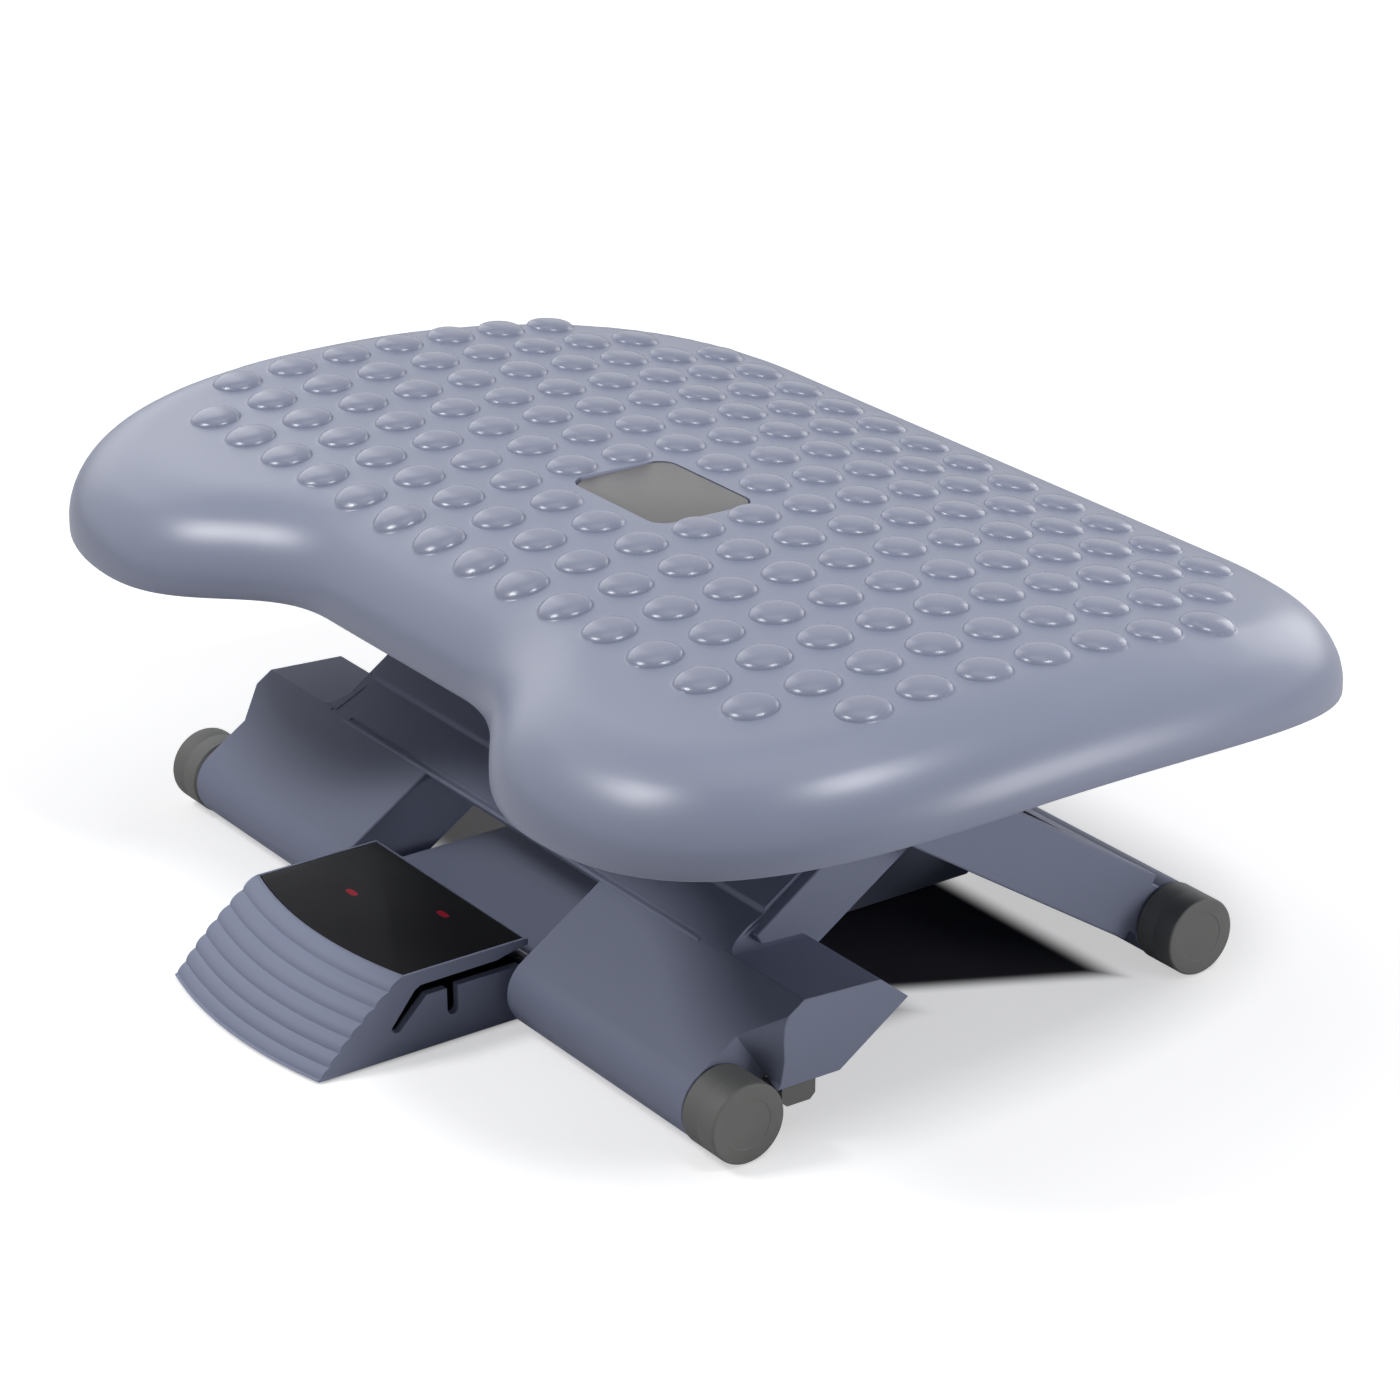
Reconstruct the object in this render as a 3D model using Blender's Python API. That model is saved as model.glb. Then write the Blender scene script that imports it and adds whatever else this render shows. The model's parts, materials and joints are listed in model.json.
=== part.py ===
"""Adjustable footrest: a bumped platform that tilts on a scissor stand with a height pedal.

All sizes are in metres. X runs across the footrest, Y from the user's side (the pedal) to the
back, and Z is up. The stand is drawn at its highest setting with the platform level.
"""

import math

import bmesh
import bpy

# Scissor stand: link lengths and the angle that each link makes with the floor
LINK_LOWER = 0.1191
LINK_UPPER = 0.0846
TOP_ANGLE = math.radians(33.1)
LOW_ANGLE = math.radians(14.4)
SCISSOR_Y = 0.0174
FOOT_RADIUS = 0.0138
FIT = 0.0003
CUT_PAST = 0.002

# Mouldings whose walls cross at a slant, which only the manifold solver closes
SLANTED_MOULDINGS = ("front_frame", "rear_frame")

# Platform outline, half of it: front middle, front lobe, widest point and back edge
FRONT_MIDDLE_Y = -0.1019
FRONT_FLAT_HALF = 0.0424
LOBE_X = 0.1345
LOBE_Y = -0.1363
HALF_WIDTH = 0.2256
WIDEST_Y = -0.0203
BACK_FLAT_HALF = 0.1175
BACK_Y = 0.1701
FRONT_HANDLE = 0.0382
LOBE_HANDLE_IN = 0.0467
LOBE_HANDLE_OUT = 0.0612
SIDE_HANDLE_FRONT = 0.0781
SIDE_HANDLE_BACK = 0.117
BACK_HANDLE = 0.090
CURVE_STEPS = 7

# Platform section: crown, rim and wall
CROWN_RISE = 0.0271
CROWN_Y = -0.0079
CROWN_RADIUS = 0.704
RIM_INSET = 0.030
RIM_DROP = 0.0253
SKIRT_DROP = 0.0288
SHELL_WALL = 0.0035
RIM_STEPS = 5

# Massage bumps
BUMP_PITCH_X = 0.025
BUMP_PITCH_Y = 0.02267
ROW_CREEP = 0.000092
BUMP_RADIUS = 0.0095
BUMP_HEIGHT = 0.003
BUMP_ROOT = 0.001
BUMP_SHOULDER = 0.0059
BUMP_SHOULDER_RISE = 0.00216
BUMP_SIDES = 7
BUMP_MARGIN = 0.024
BUMP_COLUMNS = 16
BUMP_ROWS = 10
HOME_ROW = 5
HOME_ROW_Y = 0.0171
ROW_INSETS = {1: 1, 9: 1, 10: 2}

# Badge on the platform
BADGE_LENGTH = 0.054
BADGE_DEPTH = 0.040
BADGE_Y = 0.0060
BADGE_CORNER = 0.007
BADGE_SUNK = 0.0014
BADGE_THICK = 0.0011

# Front frame
NOSE_RADIUS = 0.0133
NOTCH_HALF = 0.054
WING_HALF = 0.122
NOSE_HALF = 0.154
EAR_OUTSTAND = 0.011
CREST_U = 0.0384
CREST_V = 0.0131
STEP_U = 0.0578
STEP_V = 0.0103
STEP_RISE = 0.0013
WING_BACK_U = 0.068
MOULDING_HALF = 0.01225
PLATE_HALF = 0.1205
PLATE_WALL = 0.0034
PLATE_END_U = 0.150
BEAM_IN = 0.102
BEAM_OUT = 0.125
BEAM_WALL = 0.003
BEAM_STEP = 0.0005
BEAM_START_U = 0.050
BEAM_TAPER = 0.030
BEAM_TIP_RADIUS = 0.009
SPIGOT_RADIUS = 0.008
SPIGOT_LENGTH = 0.011
CAP_THICK = 0.01695
CAP_EDGE = 0.0015
PAD_LENGTH = 0.013
PAD_DEPTH = 0.007
PAD_WIDTH = 0.0098
PAD_START = 0.0025
PAD_CORNER = 0.002
WING_BACK_DROP = 0.001
DECK_LAP = 0.001
SHOULDER_START_U = 0.013
SHOULDER_END_U = 0.0345
SHOULDER_UNDER_V = -0.0050
SIDE_LAP = 0.001
EAR_LAP = 0.0015
POCKET_START_U = 0.016
POCKET_ROOF = 0.006
POCKET_WALL = 0.006
BEAM_ROOF = 0.0036
BEAM_TOP_DIP = 0.002
SPIGOT_ROOT = 0.005

# Ear corners, measured along and square to the link from the foot's axis
EAR_CORNERS = ((0.0150, -0.0050), (0.0172, -0.0044), (0.0225, 0.0011), (0.0262, 0.0070),
               (0.0296, 0.0114), (0.0325, 0.0131), (0.0397, 0.0131), (0.0637, -0.0045),
               (0.0680, -0.0184), (0.0355, -0.0187))

# Rear frame
LEG_WALL = 0.010
LEG_NECK = 0.009
LEG_START = 0.0135
LEG_TIP_RADIUS = 0.007
LEG_TAPER = 0.035
REAR_TUBE_IN = 0.050
REAR_CAP_THICK = 0.0172
ROD_RADIUS = 0.004
ROD_IN_CAP = 0.012
WEB_START = 0.018
WEB_END = 0.054
WEB_WALL = 0.003

# Scissor pivots and glides
PIVOT_RADIUS = 0.004
PIVOT_HEAD_RADIUS = 0.0065
PIVOT_HEAD_THICK = 0.002
PIVOT_BOSS = 0.0085
LEG_GAP = 0.0025
GLIDE_SHANK_RADIUS = 0.0035
GLIDE_RADIUS = 0.005
GLIDE_HEAD_THICK = 0.0018

# Cradle under the platform
RAIL_GAP = 0.0015
RAIL_WIDTH = 0.012
RAIL_BELOW = 0.00905
RAIL_ABOVE = 0.00895
RAIL_FRONT_REACH = 0.0055
RAIL_BACK_REACH = 0.0188
RAIL_PAD_LENGTH = 0.012
SLOT_END_GAP = 0.0015
CRADLE_ROD_RADIUS = 0.003
SLEEVE_WALL = 0.0017
BAR_GAP = 0.0018
BAR_THICK = 0.007
BAR_HALF_HEIGHT = 0.007
SCREW_RADIUS = 0.0015
SCREW_HEAD_RADIUS = 0.0029
SCREW_HEAD_THICK = 0.0018
SCREW_BITE = 0.010
SCREW_SPREAD = 0.0035
CLIP_RADIUS = 0.0062
CLIP_THICK = 0.0015
ROD_END = 0.0015

# Platform tilt
TILT_Y = -0.0895
TILT_RISE = 0.00395
LUG_GAP = 0.002
LUG_WIDTH = 0.006
LUG_RADIUS = 0.0075
LUG_FLARE = 0.002

# Pedal
PEDAL_HALF = 0.0475
PEDAL_FRONT_Y = -0.1701
FLOOR_BOW = 0.0060
TOP_BOW = 0.0065
BOW_REACH = 0.012
PEDAL_TOP = 0.02875
PEDAL_BACK_Y = -0.0825
PEDAL_FLOOR_GAP = 0.0003
RIB_COUNT = 6
RIB_LEDGE = 0.0012
RIB_BACK_Y = -0.1380
RIB_BULGE = 0.0022
PEDAL_WALL = 0.003
PEDAL_ROOF = 0.0039
HOOK_DEPTH = 0.0063
HOOK_BACK = 0.0045
HOOK_FLARE = 0.0144
HOOK_ROOM = 0.0054
ARM_TOP = 0.0195
BARREL_RADIUS = 0.009
LABEL_FRONT_Y = -0.1364
LABEL_BACK_Y = -0.0838
LABEL_HALF = 0.0462
LABEL_SUNK = 0.0012
LABEL_THICK = 0.0009

# Latch rod and the cam slot that it runs in
LATCH_RADIUS = 0.0015
LATCH_REACH = 0.0080
LATCH_BITE = 0.004
SLOT_CLEAR = 0.0007
SLOT_LIFT = 0.0002
POCKET_DEPTH = 0.0100
FRONT_POCKET_Y = -0.1336
MOUTH_RISE = 0.0025
MOUTH_STEP = 0.004
MOUTH_LENGTH = 0.009


# Where the joints are
half_stance = LINK_LOWER * math.cos(TOP_ANGLE)
scissor_z = FOOT_RADIUS + LINK_LOWER * math.sin(TOP_ANGLE)
low_half_stance = LINK_LOWER * math.cos(LOW_ANGLE)
rear_foot_y = SCISSOR_Y + half_stance
front_foot_y = SCISSOR_Y - half_stance
cradle_y = SCISSOR_Y + LINK_UPPER * math.cos(TOP_ANGLE)
cradle_z = scissor_z + LINK_UPPER * math.sin(TOP_ANGLE)
glide_y = SCISSOR_Y - LINK_UPPER * math.cos(TOP_ANGLE)
glide_travel = 2 * LINK_UPPER * (math.cos(LOW_ANGLE) - math.cos(TOP_ANGLE))
tilt_z = cradle_z + TILT_RISE
crown_z = cradle_z + CROWN_RISE
half_swing = (TOP_ANGLE - LOW_ANGLE) / 2

# Where each layer lies across the stand, from the middle outwards
leg_in = BEAM_OUT + LEG_GAP
leg_out = leg_in + LEG_WALL
rail_in = leg_out + RAIL_GAP
rail_out = rail_in + RAIL_WIDTH
lug_in = rail_out + LUG_GAP
lug_out = lug_in + LUG_WIDTH
ear_half = NOSE_HALF + EAR_OUTSTAND


def clear_scene():
    for obj in list(bpy.data.objects):
        bpy.data.objects.remove(obj, do_unlink=True)


def material(name, colour, roughness, metallic=0.0):
    made = bpy.data.materials.new(name)
    made.use_nodes = True
    shader = made.node_tree.nodes["Principled BSDF"]
    shader.inputs["Base Color"].default_value = (*colour, 1.0)
    shader.inputs["Roughness"].default_value = roughness
    shader.inputs["Metallic"].default_value = metallic
    return made


def joint_origin(name, y, z, lean=0.0):
    """An empty on a joint's axis. The pieces that turn with the joint are its children."""
    empty = bpy.data.objects.new(name, None)
    bpy.context.scene.collection.objects.link(empty)
    empty.location = (0, y, z)
    empty.rotation_euler = (lean, 0, 0)
    return empty


def new_object(name, mesh_maker, origin, finish):
    shape = bmesh.new()
    mesh_maker(shape)
    bmesh.ops.recalc_face_normals(shape, faces=shape.faces)
    mesh = bpy.data.meshes.new(name)
    shape.to_mesh(mesh)
    shape.free()
    obj = bpy.data.objects.new(name, mesh)
    bpy.context.scene.collection.objects.link(obj)
    obj.parent = origin
    if finish:
        mesh.materials.append(finish)
    mesh.shade_smooth()
    mesh.set_sharp_from_angle(angle=math.radians(30))
    return obj


def skin_sections(shape, sections):
    """Closed skin through a row of equal outlines, with the first and the last filled."""
    rows = [[shape.verts.new(point) for point in section] for section in sections]
    count = len(rows[0])
    for near, far in zip(rows, rows[1:]):
        for i in range(count):
            j = (i + 1) % count
            shape.faces.new((near[i], near[j], far[j], far[i]))
    shape.faces.new(rows[0])
    shape.faces.new(rows[-1])


def prism(name, outline, x_from, x_to, origin, finish=None):
    """A side outline of (y, z) points carried straight across from one x to another."""
    def make(shape):
        skin_sections(shape, [[(x, y, z) for y, z in outline] for x in (x_from, x_to)])
    return new_object(name, make, origin, finish)


def slab(name, plan, z_from, z_to, origin, finish=None):
    """A plan outline of (x, y) points carried up from one height to another."""
    def make(shape):
        skin_sections(shape, [[(x, y, z) for x, y in plan] for z in (z_from, z_to)])
    return new_object(name, make, origin, finish)


def turned(name, profile, origin, finish=None, y=0.0, z=0.0, sides=16, hollow=False):
    """A profile of (x, radius) points turned about a line along X."""
    def make(shape):
        rings = []
        for x, radius in profile:
            if radius == 0:
                rings.append([shape.verts.new((x, y, z))] * sides)
                continue
            ring = []
            for i in range(sides):
                turn = 2 * math.pi * i / sides
                ring.append(shape.verts.new((x, y + radius * math.sin(turn), z + radius * math.cos(turn))))
            rings.append(ring)
        pairs = list(zip(rings, rings[1:]))
        if hollow:
            pairs.append((rings[-1], rings[0]))
        for near, far in pairs:
            for i in range(sides):
                j = (i + 1) % sides
                corners = [near[i], near[j], far[j], far[i]]
                distinct = list(dict.fromkeys(corners))
                shape.faces.new(distinct)
    return new_object(name, make, origin, finish)


def rod(name, radius, x_from, x_to, origin, finish=None, y=0.0, z=0.0, edge=0.0003, sides=12):
    profile = [(x_from, 0), (x_from, radius - edge), (x_from + edge, radius),
               (x_to - edge, radius), (x_to, radius - edge), (x_to, 0)]
    return turned(name, profile, origin, finish, y, z, sides)


def ring(name, inner, outer, x_from, x_to, origin, finish=None, y=0.0, z=0.0, sides=14):
    profile = [(x_from, inner), (x_from, outer), (x_to, outer), (x_to, inner)]
    return turned(name, profile, origin, finish, y, z, sides, hollow=True)


def boolean(obj, tool, operation):
    tool.hide_render = True
    tool.display_type = "WIRE"
    step = obj.modifiers.new(tool.name, "BOOLEAN")
    step.operation = operation
    step.solver = "MANIFOLD" if obj.name in SLANTED_MOULDINGS else "EXACT"
    step.object = tool


def join(obj, *tools):
    for tool in tools:
        boolean(obj, tool, "UNION")


def cut(obj, *tools):
    for tool in tools:
        boolean(obj, tool, "DIFFERENCE")


def arc(centre_y, centre_z, radius, start, end, steps):
    """Points on an arc, with the angles in degrees from +Y towards +Z."""
    points = []
    for i in range(steps + 1):
        angle = math.radians(start + (end - start) * i / steps)
        points.append((centre_y + radius * math.cos(angle), centre_z + radius * math.sin(angle)))
    return points


def side_name(side):
    return "left" if side < 0 else "right"


def span(side, near, far):
    """The two x values of a piece on one side, lowest first."""
    return (near, far) if side > 0 else (-far, -near)


def make_materials():
    return {
        "plastic": material("blue_grey_plastic", (0.30, 0.32, 0.40), 0.45),
        "rubber": material("grey_rubber", (0.11, 0.11, 0.11), 0.7),
        "badge": material("badge_grey", (0.16, 0.15, 0.15), 0.4),
        "label": material("matt_black", (0.012, 0.012, 0.014), 0.6),
        "steel": material("zinc_steel", (0.55, 0.56, 0.57), 0.35, 1.0),
        "nylon": material("black_nylon", (0.03, 0.03, 0.035), 0.45),
    }


def rear_axle(origin, finishes):
    """The rear foot rod and its rubber caps, which stay where they stand."""
    reach = leg_out + ROD_IN_CAP
    rod("rear_rod", ROD_RADIUS, -reach, reach, origin, finishes["steel"])
    for side in (-1, 1):
        near = leg_out + FIT
        cap(f"rear_cap_{side_name(side)}", side, near, near + REAR_CAP_THICK, ROD_RADIUS + FIT,
            ROD_IN_CAP + FIT, origin, finishes["rubber"])


def cap(name, side, near, far, bore, bore_depth, origin, finish, y=0.0):
    """A rubber foot cap: a short round plug with a rounded rim and a blind bore."""
    bottom = near + bore_depth
    profile = [(bottom, 0), (bottom, bore), (near, bore), (near, FOOT_RADIUS - CAP_EDGE / 2),
               (near + CAP_EDGE / 2, FOOT_RADIUS), (far - CAP_EDGE, FOOT_RADIUS),
               (far - CAP_EDGE * 0.3, FOOT_RADIUS - CAP_EDGE * 0.3),
               (far, FOOT_RADIUS - CAP_EDGE), (far, 0)]
    return turned(name, [(side * x, r) for x, r in profile], origin, finish, y=y, sides=28)


def rear_frame(origin, finishes):
    """Two flat legs on a split foot tube, tied together by a thin web."""
    length = LINK_LOWER + LINK_UPPER
    deep = MOULDING_HALF
    leg_outline = [(0, -LEG_NECK), (0, LEG_NECK), (-LEG_START, LEG_NECK), (-LEG_START, deep)]
    leg_outline += [(LEG_TAPER - length, deep)]
    leg_outline += arc(-length, 0, LEG_TIP_RADIUS, 90, 270, 8)
    leg_outline += [(LEG_TAPER - length, -deep), (-LEG_START, -deep), (-LEG_START, -LEG_NECK)]
    web_outline = [(-WEB_START, deep - WEB_WALL), (-WEB_START, deep), (-WEB_END, deep),
                   (-WEB_END, deep - WEB_WALL)]
    leg_middle = (leg_in + leg_out) / 2
    frame = prism("rear_frame", web_outline, -leg_middle, leg_middle, origin, finishes["plastic"])
    for side in (-1, 1):
        name = side_name(side)
        join(frame, prism(f"rear_leg_{name}", leg_outline, *span(side, leg_in, leg_out), origin))
        join(frame, rod(f"rear_tube_{name}", NOSE_RADIUS, *span(side, REAR_TUBE_IN, leg_out),
                        origin, sides=24))
        holes = (("rod_hole", ROD_RADIUS, 0, REAR_TUBE_IN),
                 ("pivot_hole", PIVOT_RADIUS, -LINK_LOWER, leg_in),
                 ("glide_hole", GLIDE_SHANK_RADIUS, -length, leg_in))
        for hole, radius, y, start in holes:
            cut(frame, rod(f"{hole}_{name}", radius + FIT, *span(side, start - CUT_PAST, leg_out + CUT_PAST),
                           origin, y=y))
        glide_pin(side, -length, origin, finishes["nylon"])
        pivot_pin(side, -LINK_LOWER, origin, finishes)


def glide_pin(side, y, origin, finish):
    """A stepped pin: its shank is in the leg and its thick end slides in the cradle rail."""
    head_in = leg_in - FIT - GLIDE_HEAD_THICK
    profile = [(head_in, 0), (head_in, GLIDE_RADIUS), (leg_in - FIT, GLIDE_RADIUS),
               (leg_in - FIT, GLIDE_SHANK_RADIUS), (leg_out + FIT, GLIDE_SHANK_RADIUS),
               (leg_out + FIT, GLIDE_RADIUS), (rail_out - FIT, GLIDE_RADIUS), (rail_out - FIT, 0)]
    turned(f"glide_pin_{side_name(side)}", [(side * x, r) for x, r in profile], origin, finish, y=y)


def pivot_pin(side, y, origin, finishes):
    """A headed pin through the leg and the front frame's beam, with a washer between the two."""
    head = leg_out + FIT
    profile = [(BEAM_IN, 0), (BEAM_IN, PIVOT_RADIUS), (head, PIVOT_RADIUS), (head, PIVOT_HEAD_RADIUS),
               (head + PIVOT_HEAD_THICK, PIVOT_HEAD_RADIUS), (head + PIVOT_HEAD_THICK, 0)]
    name = side_name(side)
    turned(f"pivot_pin_{name}", [(side * x, r) for x, r in profile], origin, finishes["steel"], y=y)
    ring(f"pivot_washer_{name}", PIVOT_RADIUS + FIT, PIVOT_BOSS, *span(side, BEAM_OUT + FIT, leg_in - FIT),
         origin, finishes["nylon"], y=y)


def front_frame(origin, finishes):
    """The moulded front frame: nose, wings, ears, a thin deck and two beams up to the cradle."""
    foot = -LINK_LOWER
    tip = LINK_UPPER
    deep = MOULDING_HALF
    deck_under = STEP_V - PLATE_WALL
    deck = [(foot + CREST_U - DECK_LAP, CREST_V - PLATE_WALL), (foot + CREST_U, CREST_V),
            (foot + STEP_U, STEP_V), (foot + STEP_U + STEP_RISE, STEP_V + STEP_RISE),
            (foot + PLATE_END_U, STEP_V + STEP_RISE), (foot + PLATE_END_U, deck_under),
            (foot + STEP_U, deck_under)]
    frame = prism("front_frame", deck, -PLATE_HALF, PLATE_HALF, origin, finishes["plastic"])
    wing = [(foot, CREST_V), (foot + CREST_U, CREST_V), (foot + STEP_U, STEP_V),
            (foot + WING_BACK_U, STEP_V - WING_BACK_DROP), (foot + WING_BACK_U, -deep), (foot, -deep)]
    shoulder = [(foot, CREST_V), (foot + SHOULDER_END_U, CREST_V),
                (foot + SHOULDER_END_U, SHOULDER_UNDER_V), (foot + SHOULDER_START_U, SHOULDER_UNDER_V),
                (foot, -deep)]
    ear = [(foot + u, v) for u, v in EAR_CORNERS]
    beam_half = deep - BEAM_STEP
    beam = [(foot + BEAM_START_U, beam_half - BEAM_TOP_DIP), (tip - BEAM_TAPER, beam_half)]
    beam += arc(tip, 0, BEAM_TIP_RADIUS, 90, -90, 8)
    beam += [(tip - BEAM_TAPER, -beam_half), (foot + BEAM_START_U, -beam_half)]
    hollow = [(foot + WING_BACK_U + BEAM_WALL, -deep - CUT_PAST),
              (foot + WING_BACK_U + BEAM_WALL, STEP_V - BEAM_ROOF),
              (tip - BEAM_TAPER, STEP_V - BEAM_ROOF), (tip - BEAM_TAPER * 0.6, -deep - CUT_PAST)]
    pocket = [(foot + POCKET_START_U, -deep - CUT_PAST), (foot + POCKET_START_U, CREST_V - POCKET_ROOF),
              (foot + WING_BACK_U - BEAM_WALL, STEP_V - POCKET_ROOF),
              (foot + WING_BACK_U - BEAM_WALL, -deep - CUT_PAST)]
    for side in (-1, 1):
        name = side_name(side)
        cap_seat = NOSE_HALF + SPIGOT_LENGTH
        join(frame, prism(f"wing_{name}", wing, *span(side, NOTCH_HALF, WING_HALF), origin))
        cut(frame, prism(f"wing_pocket_{name}", pocket,
                         *span(side, NOTCH_HALF + POCKET_WALL, BEAM_IN - CUT_PAST), origin))
        join(frame, prism(f"shoulder_{name}", shoulder, *span(side, WING_HALF - SIDE_LAP, NOSE_HALF),
                          origin))
        join(frame, prism(f"ear_{name}", ear, *span(side, WING_HALF - EAR_LAP, ear_half), origin))
        join(frame, rod(f"nose_{name}", NOSE_RADIUS, *span(side, NOTCH_HALF, NOSE_HALF), origin,
                        y=foot, sides=24))
        join(frame, rod(f"spigot_{name}", SPIGOT_RADIUS, *span(side, NOSE_HALF - SPIGOT_ROOT, cap_seat),
                        origin, y=foot))
        join(frame, prism(f"beam_{name}", beam, *span(side, BEAM_IN, BEAM_OUT), origin))
        cut(frame, prism(f"beam_hollow_{name}", hollow,
                         *span(side, BEAM_IN + BEAM_WALL, BEAM_OUT - BEAM_WALL), origin))
        join(frame, rod(f"pivot_boss_{name}", PIVOT_BOSS, *span(side, BEAM_IN + FIT, BEAM_OUT - FIT),
                        origin, sides=16))
        cut(frame, rod(f"beam_pivot_hole_{name}", PIVOT_RADIUS + FIT,
                       *span(side, BEAM_IN - CUT_PAST, BEAM_OUT + CUT_PAST), origin))
        cut(frame, rod(f"beam_tip_hole_{name}", CRADLE_ROD_RADIUS + FIT,
                       *span(side, BEAM_IN - CUT_PAST, BEAM_OUT + CUT_PAST), origin, y=tip))
        cap(f"front_cap_{name}", side, NOSE_HALF + FIT, NOSE_HALF + FIT + CAP_THICK, SPIGOT_RADIUS + FIT,
            SPIGOT_LENGTH + FIT, origin, finishes["rubber"], y=foot)
        anti_slip_pad(side, ear, origin, finishes["rubber"])
    latch_rod(frame, foot, origin, finishes["steel"])
    reach = rail_out + CLIP_THICK + ROD_END + 2 * FIT
    rod("rear_pivot_rod", CRADLE_ROD_RADIUS, -reach, reach, origin, finishes["steel"], y=tip)
    clips("pivot_rod_clip", rail_out + FIT, origin, finishes["steel"], y=tip)


def anti_slip_pad(side, ear, origin, finish):
    """A rubber pad under the ear's sloping lower edge, just behind the foot cap."""
    start_y, start_z = ear[0]
    end_y, end_z = ear[-1]
    length = math.hypot(end_y - start_y, end_z - start_z)
    along = ((end_y - start_y) / length, (end_z - start_z) / length)
    down = (along[1], -along[0])

    def at(distance, depth):
        return (start_y + along[0] * distance + down[0] * depth,
                start_z + along[1] * distance + down[1] * depth)

    pad_end = PAD_START + PAD_LENGTH
    outline = [at(PAD_START, FIT), at(PAD_START, PAD_DEPTH - PAD_CORNER),
               at(PAD_START + PAD_CORNER, PAD_DEPTH), at(pad_end - PAD_CORNER, PAD_DEPTH),
               at(pad_end, PAD_DEPTH - PAD_CORNER), at(pad_end, FIT)]
    near = NOSE_HALF + 2 * FIT
    prism(f"anti_slip_pad_{side_name(side)}", outline, *span(side, near, near + PAD_WIDTH), origin, finish)


def latch_rod(frame, foot, origin, finish):
    """A thin rod across the notch. It runs level in the pedal's cam slot as the stand moves."""
    turn = math.pi / 2 + half_swing - TOP_ANGLE
    y = foot + LATCH_REACH * math.cos(turn)
    z = LATCH_REACH * math.sin(turn)
    reach = NOTCH_HALF + LATCH_BITE
    rod("latch_rod", LATCH_RADIUS, -reach, reach, origin, finish, y=y, z=z, sides=12)
    cut(frame, rod("latch_hole", LATCH_RADIUS + FIT, -reach - FIT, reach + FIT, origin, y=y, z=z, sides=12))


def clips(name, near, origin, finish, y=0.0):
    """Ring clips that keep a rod from sliding out."""
    for side in (-1, 1):
        ring(f"{name}_{side_name(side)}", CRADLE_ROD_RADIUS + FIT, CLIP_RADIUS,
             *span(side, near, near + CLIP_THICK), origin, finish, y=y)


def cradle(origin, finishes):
    """Two rails, a front sleeve and a rear bar, which stay level and carry the platform."""
    glide = glide_y - cradle_y
    tilt = TILT_Y - cradle_y
    front = tilt - RAIL_FRONT_REACH
    back = RAIL_BACK_REACH
    pad_top = under_crown(cradle_y + back - RAIL_PAD_LENGTH / 2) - cradle_z - FIT
    pad_slope = under_crown(cradle_y + back) - under_crown(cradle_y + back - RAIL_PAD_LENGTH)
    outline = [(front, -RAIL_BELOW), (back, -RAIL_BELOW), (back, pad_top + pad_slope / 2),
               (back - RAIL_PAD_LENGTH, pad_top - pad_slope / 2), (back - RAIL_PAD_LENGTH, RAIL_ABOVE),
               (front, RAIL_ABOVE)]
    slot_half = GLIDE_RADIUS + FIT
    slot = [(glide - glide_travel - GLIDE_RADIUS - SLOT_END_GAP, -slot_half),
            (glide + GLIDE_RADIUS + SLOT_END_GAP, -slot_half),
            (glide + GLIDE_RADIUS + SLOT_END_GAP, slot_half),
            (glide - glide_travel - GLIDE_RADIUS - SLOT_END_GAP, slot_half)]
    bar_near = BEAM_TIP_RADIUS + BAR_GAP
    bar_outline = [(bar_near, -BAR_HALF_HEIGHT), (bar_near + BAR_THICK, -BAR_HALF_HEIGHT),
                   (bar_near + BAR_THICK, BAR_HALF_HEIGHT), (bar_near, BAR_HALF_HEIGHT)]
    bar = prism("cradle_rear_bar", bar_outline, FIT - rail_in, rail_in - FIT, origin, finishes["plastic"])
    screw_y = bar_near + BAR_THICK / 2
    for side in (-1, 1):
        name = side_name(side)
        rail = prism(f"cradle_rail_{name}", outline, *span(side, rail_in, rail_out), origin,
                     finishes["plastic"])
        through = span(side, rail_in - CUT_PAST, rail_out + CUT_PAST)
        cut(rail, prism(f"glide_slot_{name}", slot, *through, origin))
        cut(rail, rod(f"rail_tilt_hole_{name}", CRADLE_ROD_RADIUS + FIT, *through, origin, y=tilt,
                      z=TILT_RISE))
        cut(rail, rod(f"rail_pivot_hole_{name}", CRADLE_ROD_RADIUS + FIT, *through, origin))
        for place, height in (("lower", -SCREW_SPREAD), ("upper", SCREW_SPREAD)):
            cut(rail, rod(f"rail_screw_hole_{place}_{name}", SCREW_RADIUS + FIT, *through, origin,
                          y=screw_y, z=height, sides=8))
            cut(bar, rod(f"bar_screw_hole_{place}_{name}", SCREW_RADIUS + FIT,
                         *span(side, rail_in - SCREW_BITE - 2 * FIT, rail_in + CUT_PAST), origin,
                         y=screw_y, z=height, sides=8))
            bar_screw(f"bar_screw_{place}_{name}", side, screw_y, height, origin, finishes["steel"])
    ring("cradle_front_sleeve", CRADLE_ROD_RADIUS + FIT, CRADLE_ROD_RADIUS + FIT + SLEEVE_WALL,
         FIT - rail_in, rail_in - FIT, origin, finishes["steel"], y=tilt, z=TILT_RISE)
    reach = lug_out + CLIP_THICK + ROD_END + 2 * FIT
    rod("tilt_rod", CRADLE_ROD_RADIUS, -reach, reach, origin, finishes["steel"], y=tilt, z=TILT_RISE)
    for side in (-1, 1):
        near = lug_out + FIT
        ring(f"tilt_rod_clip_{side_name(side)}", CRADLE_ROD_RADIUS + FIT, CLIP_RADIUS,
             *span(side, near, near + CLIP_THICK), origin, finishes["steel"], y=tilt, z=TILT_RISE)


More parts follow.
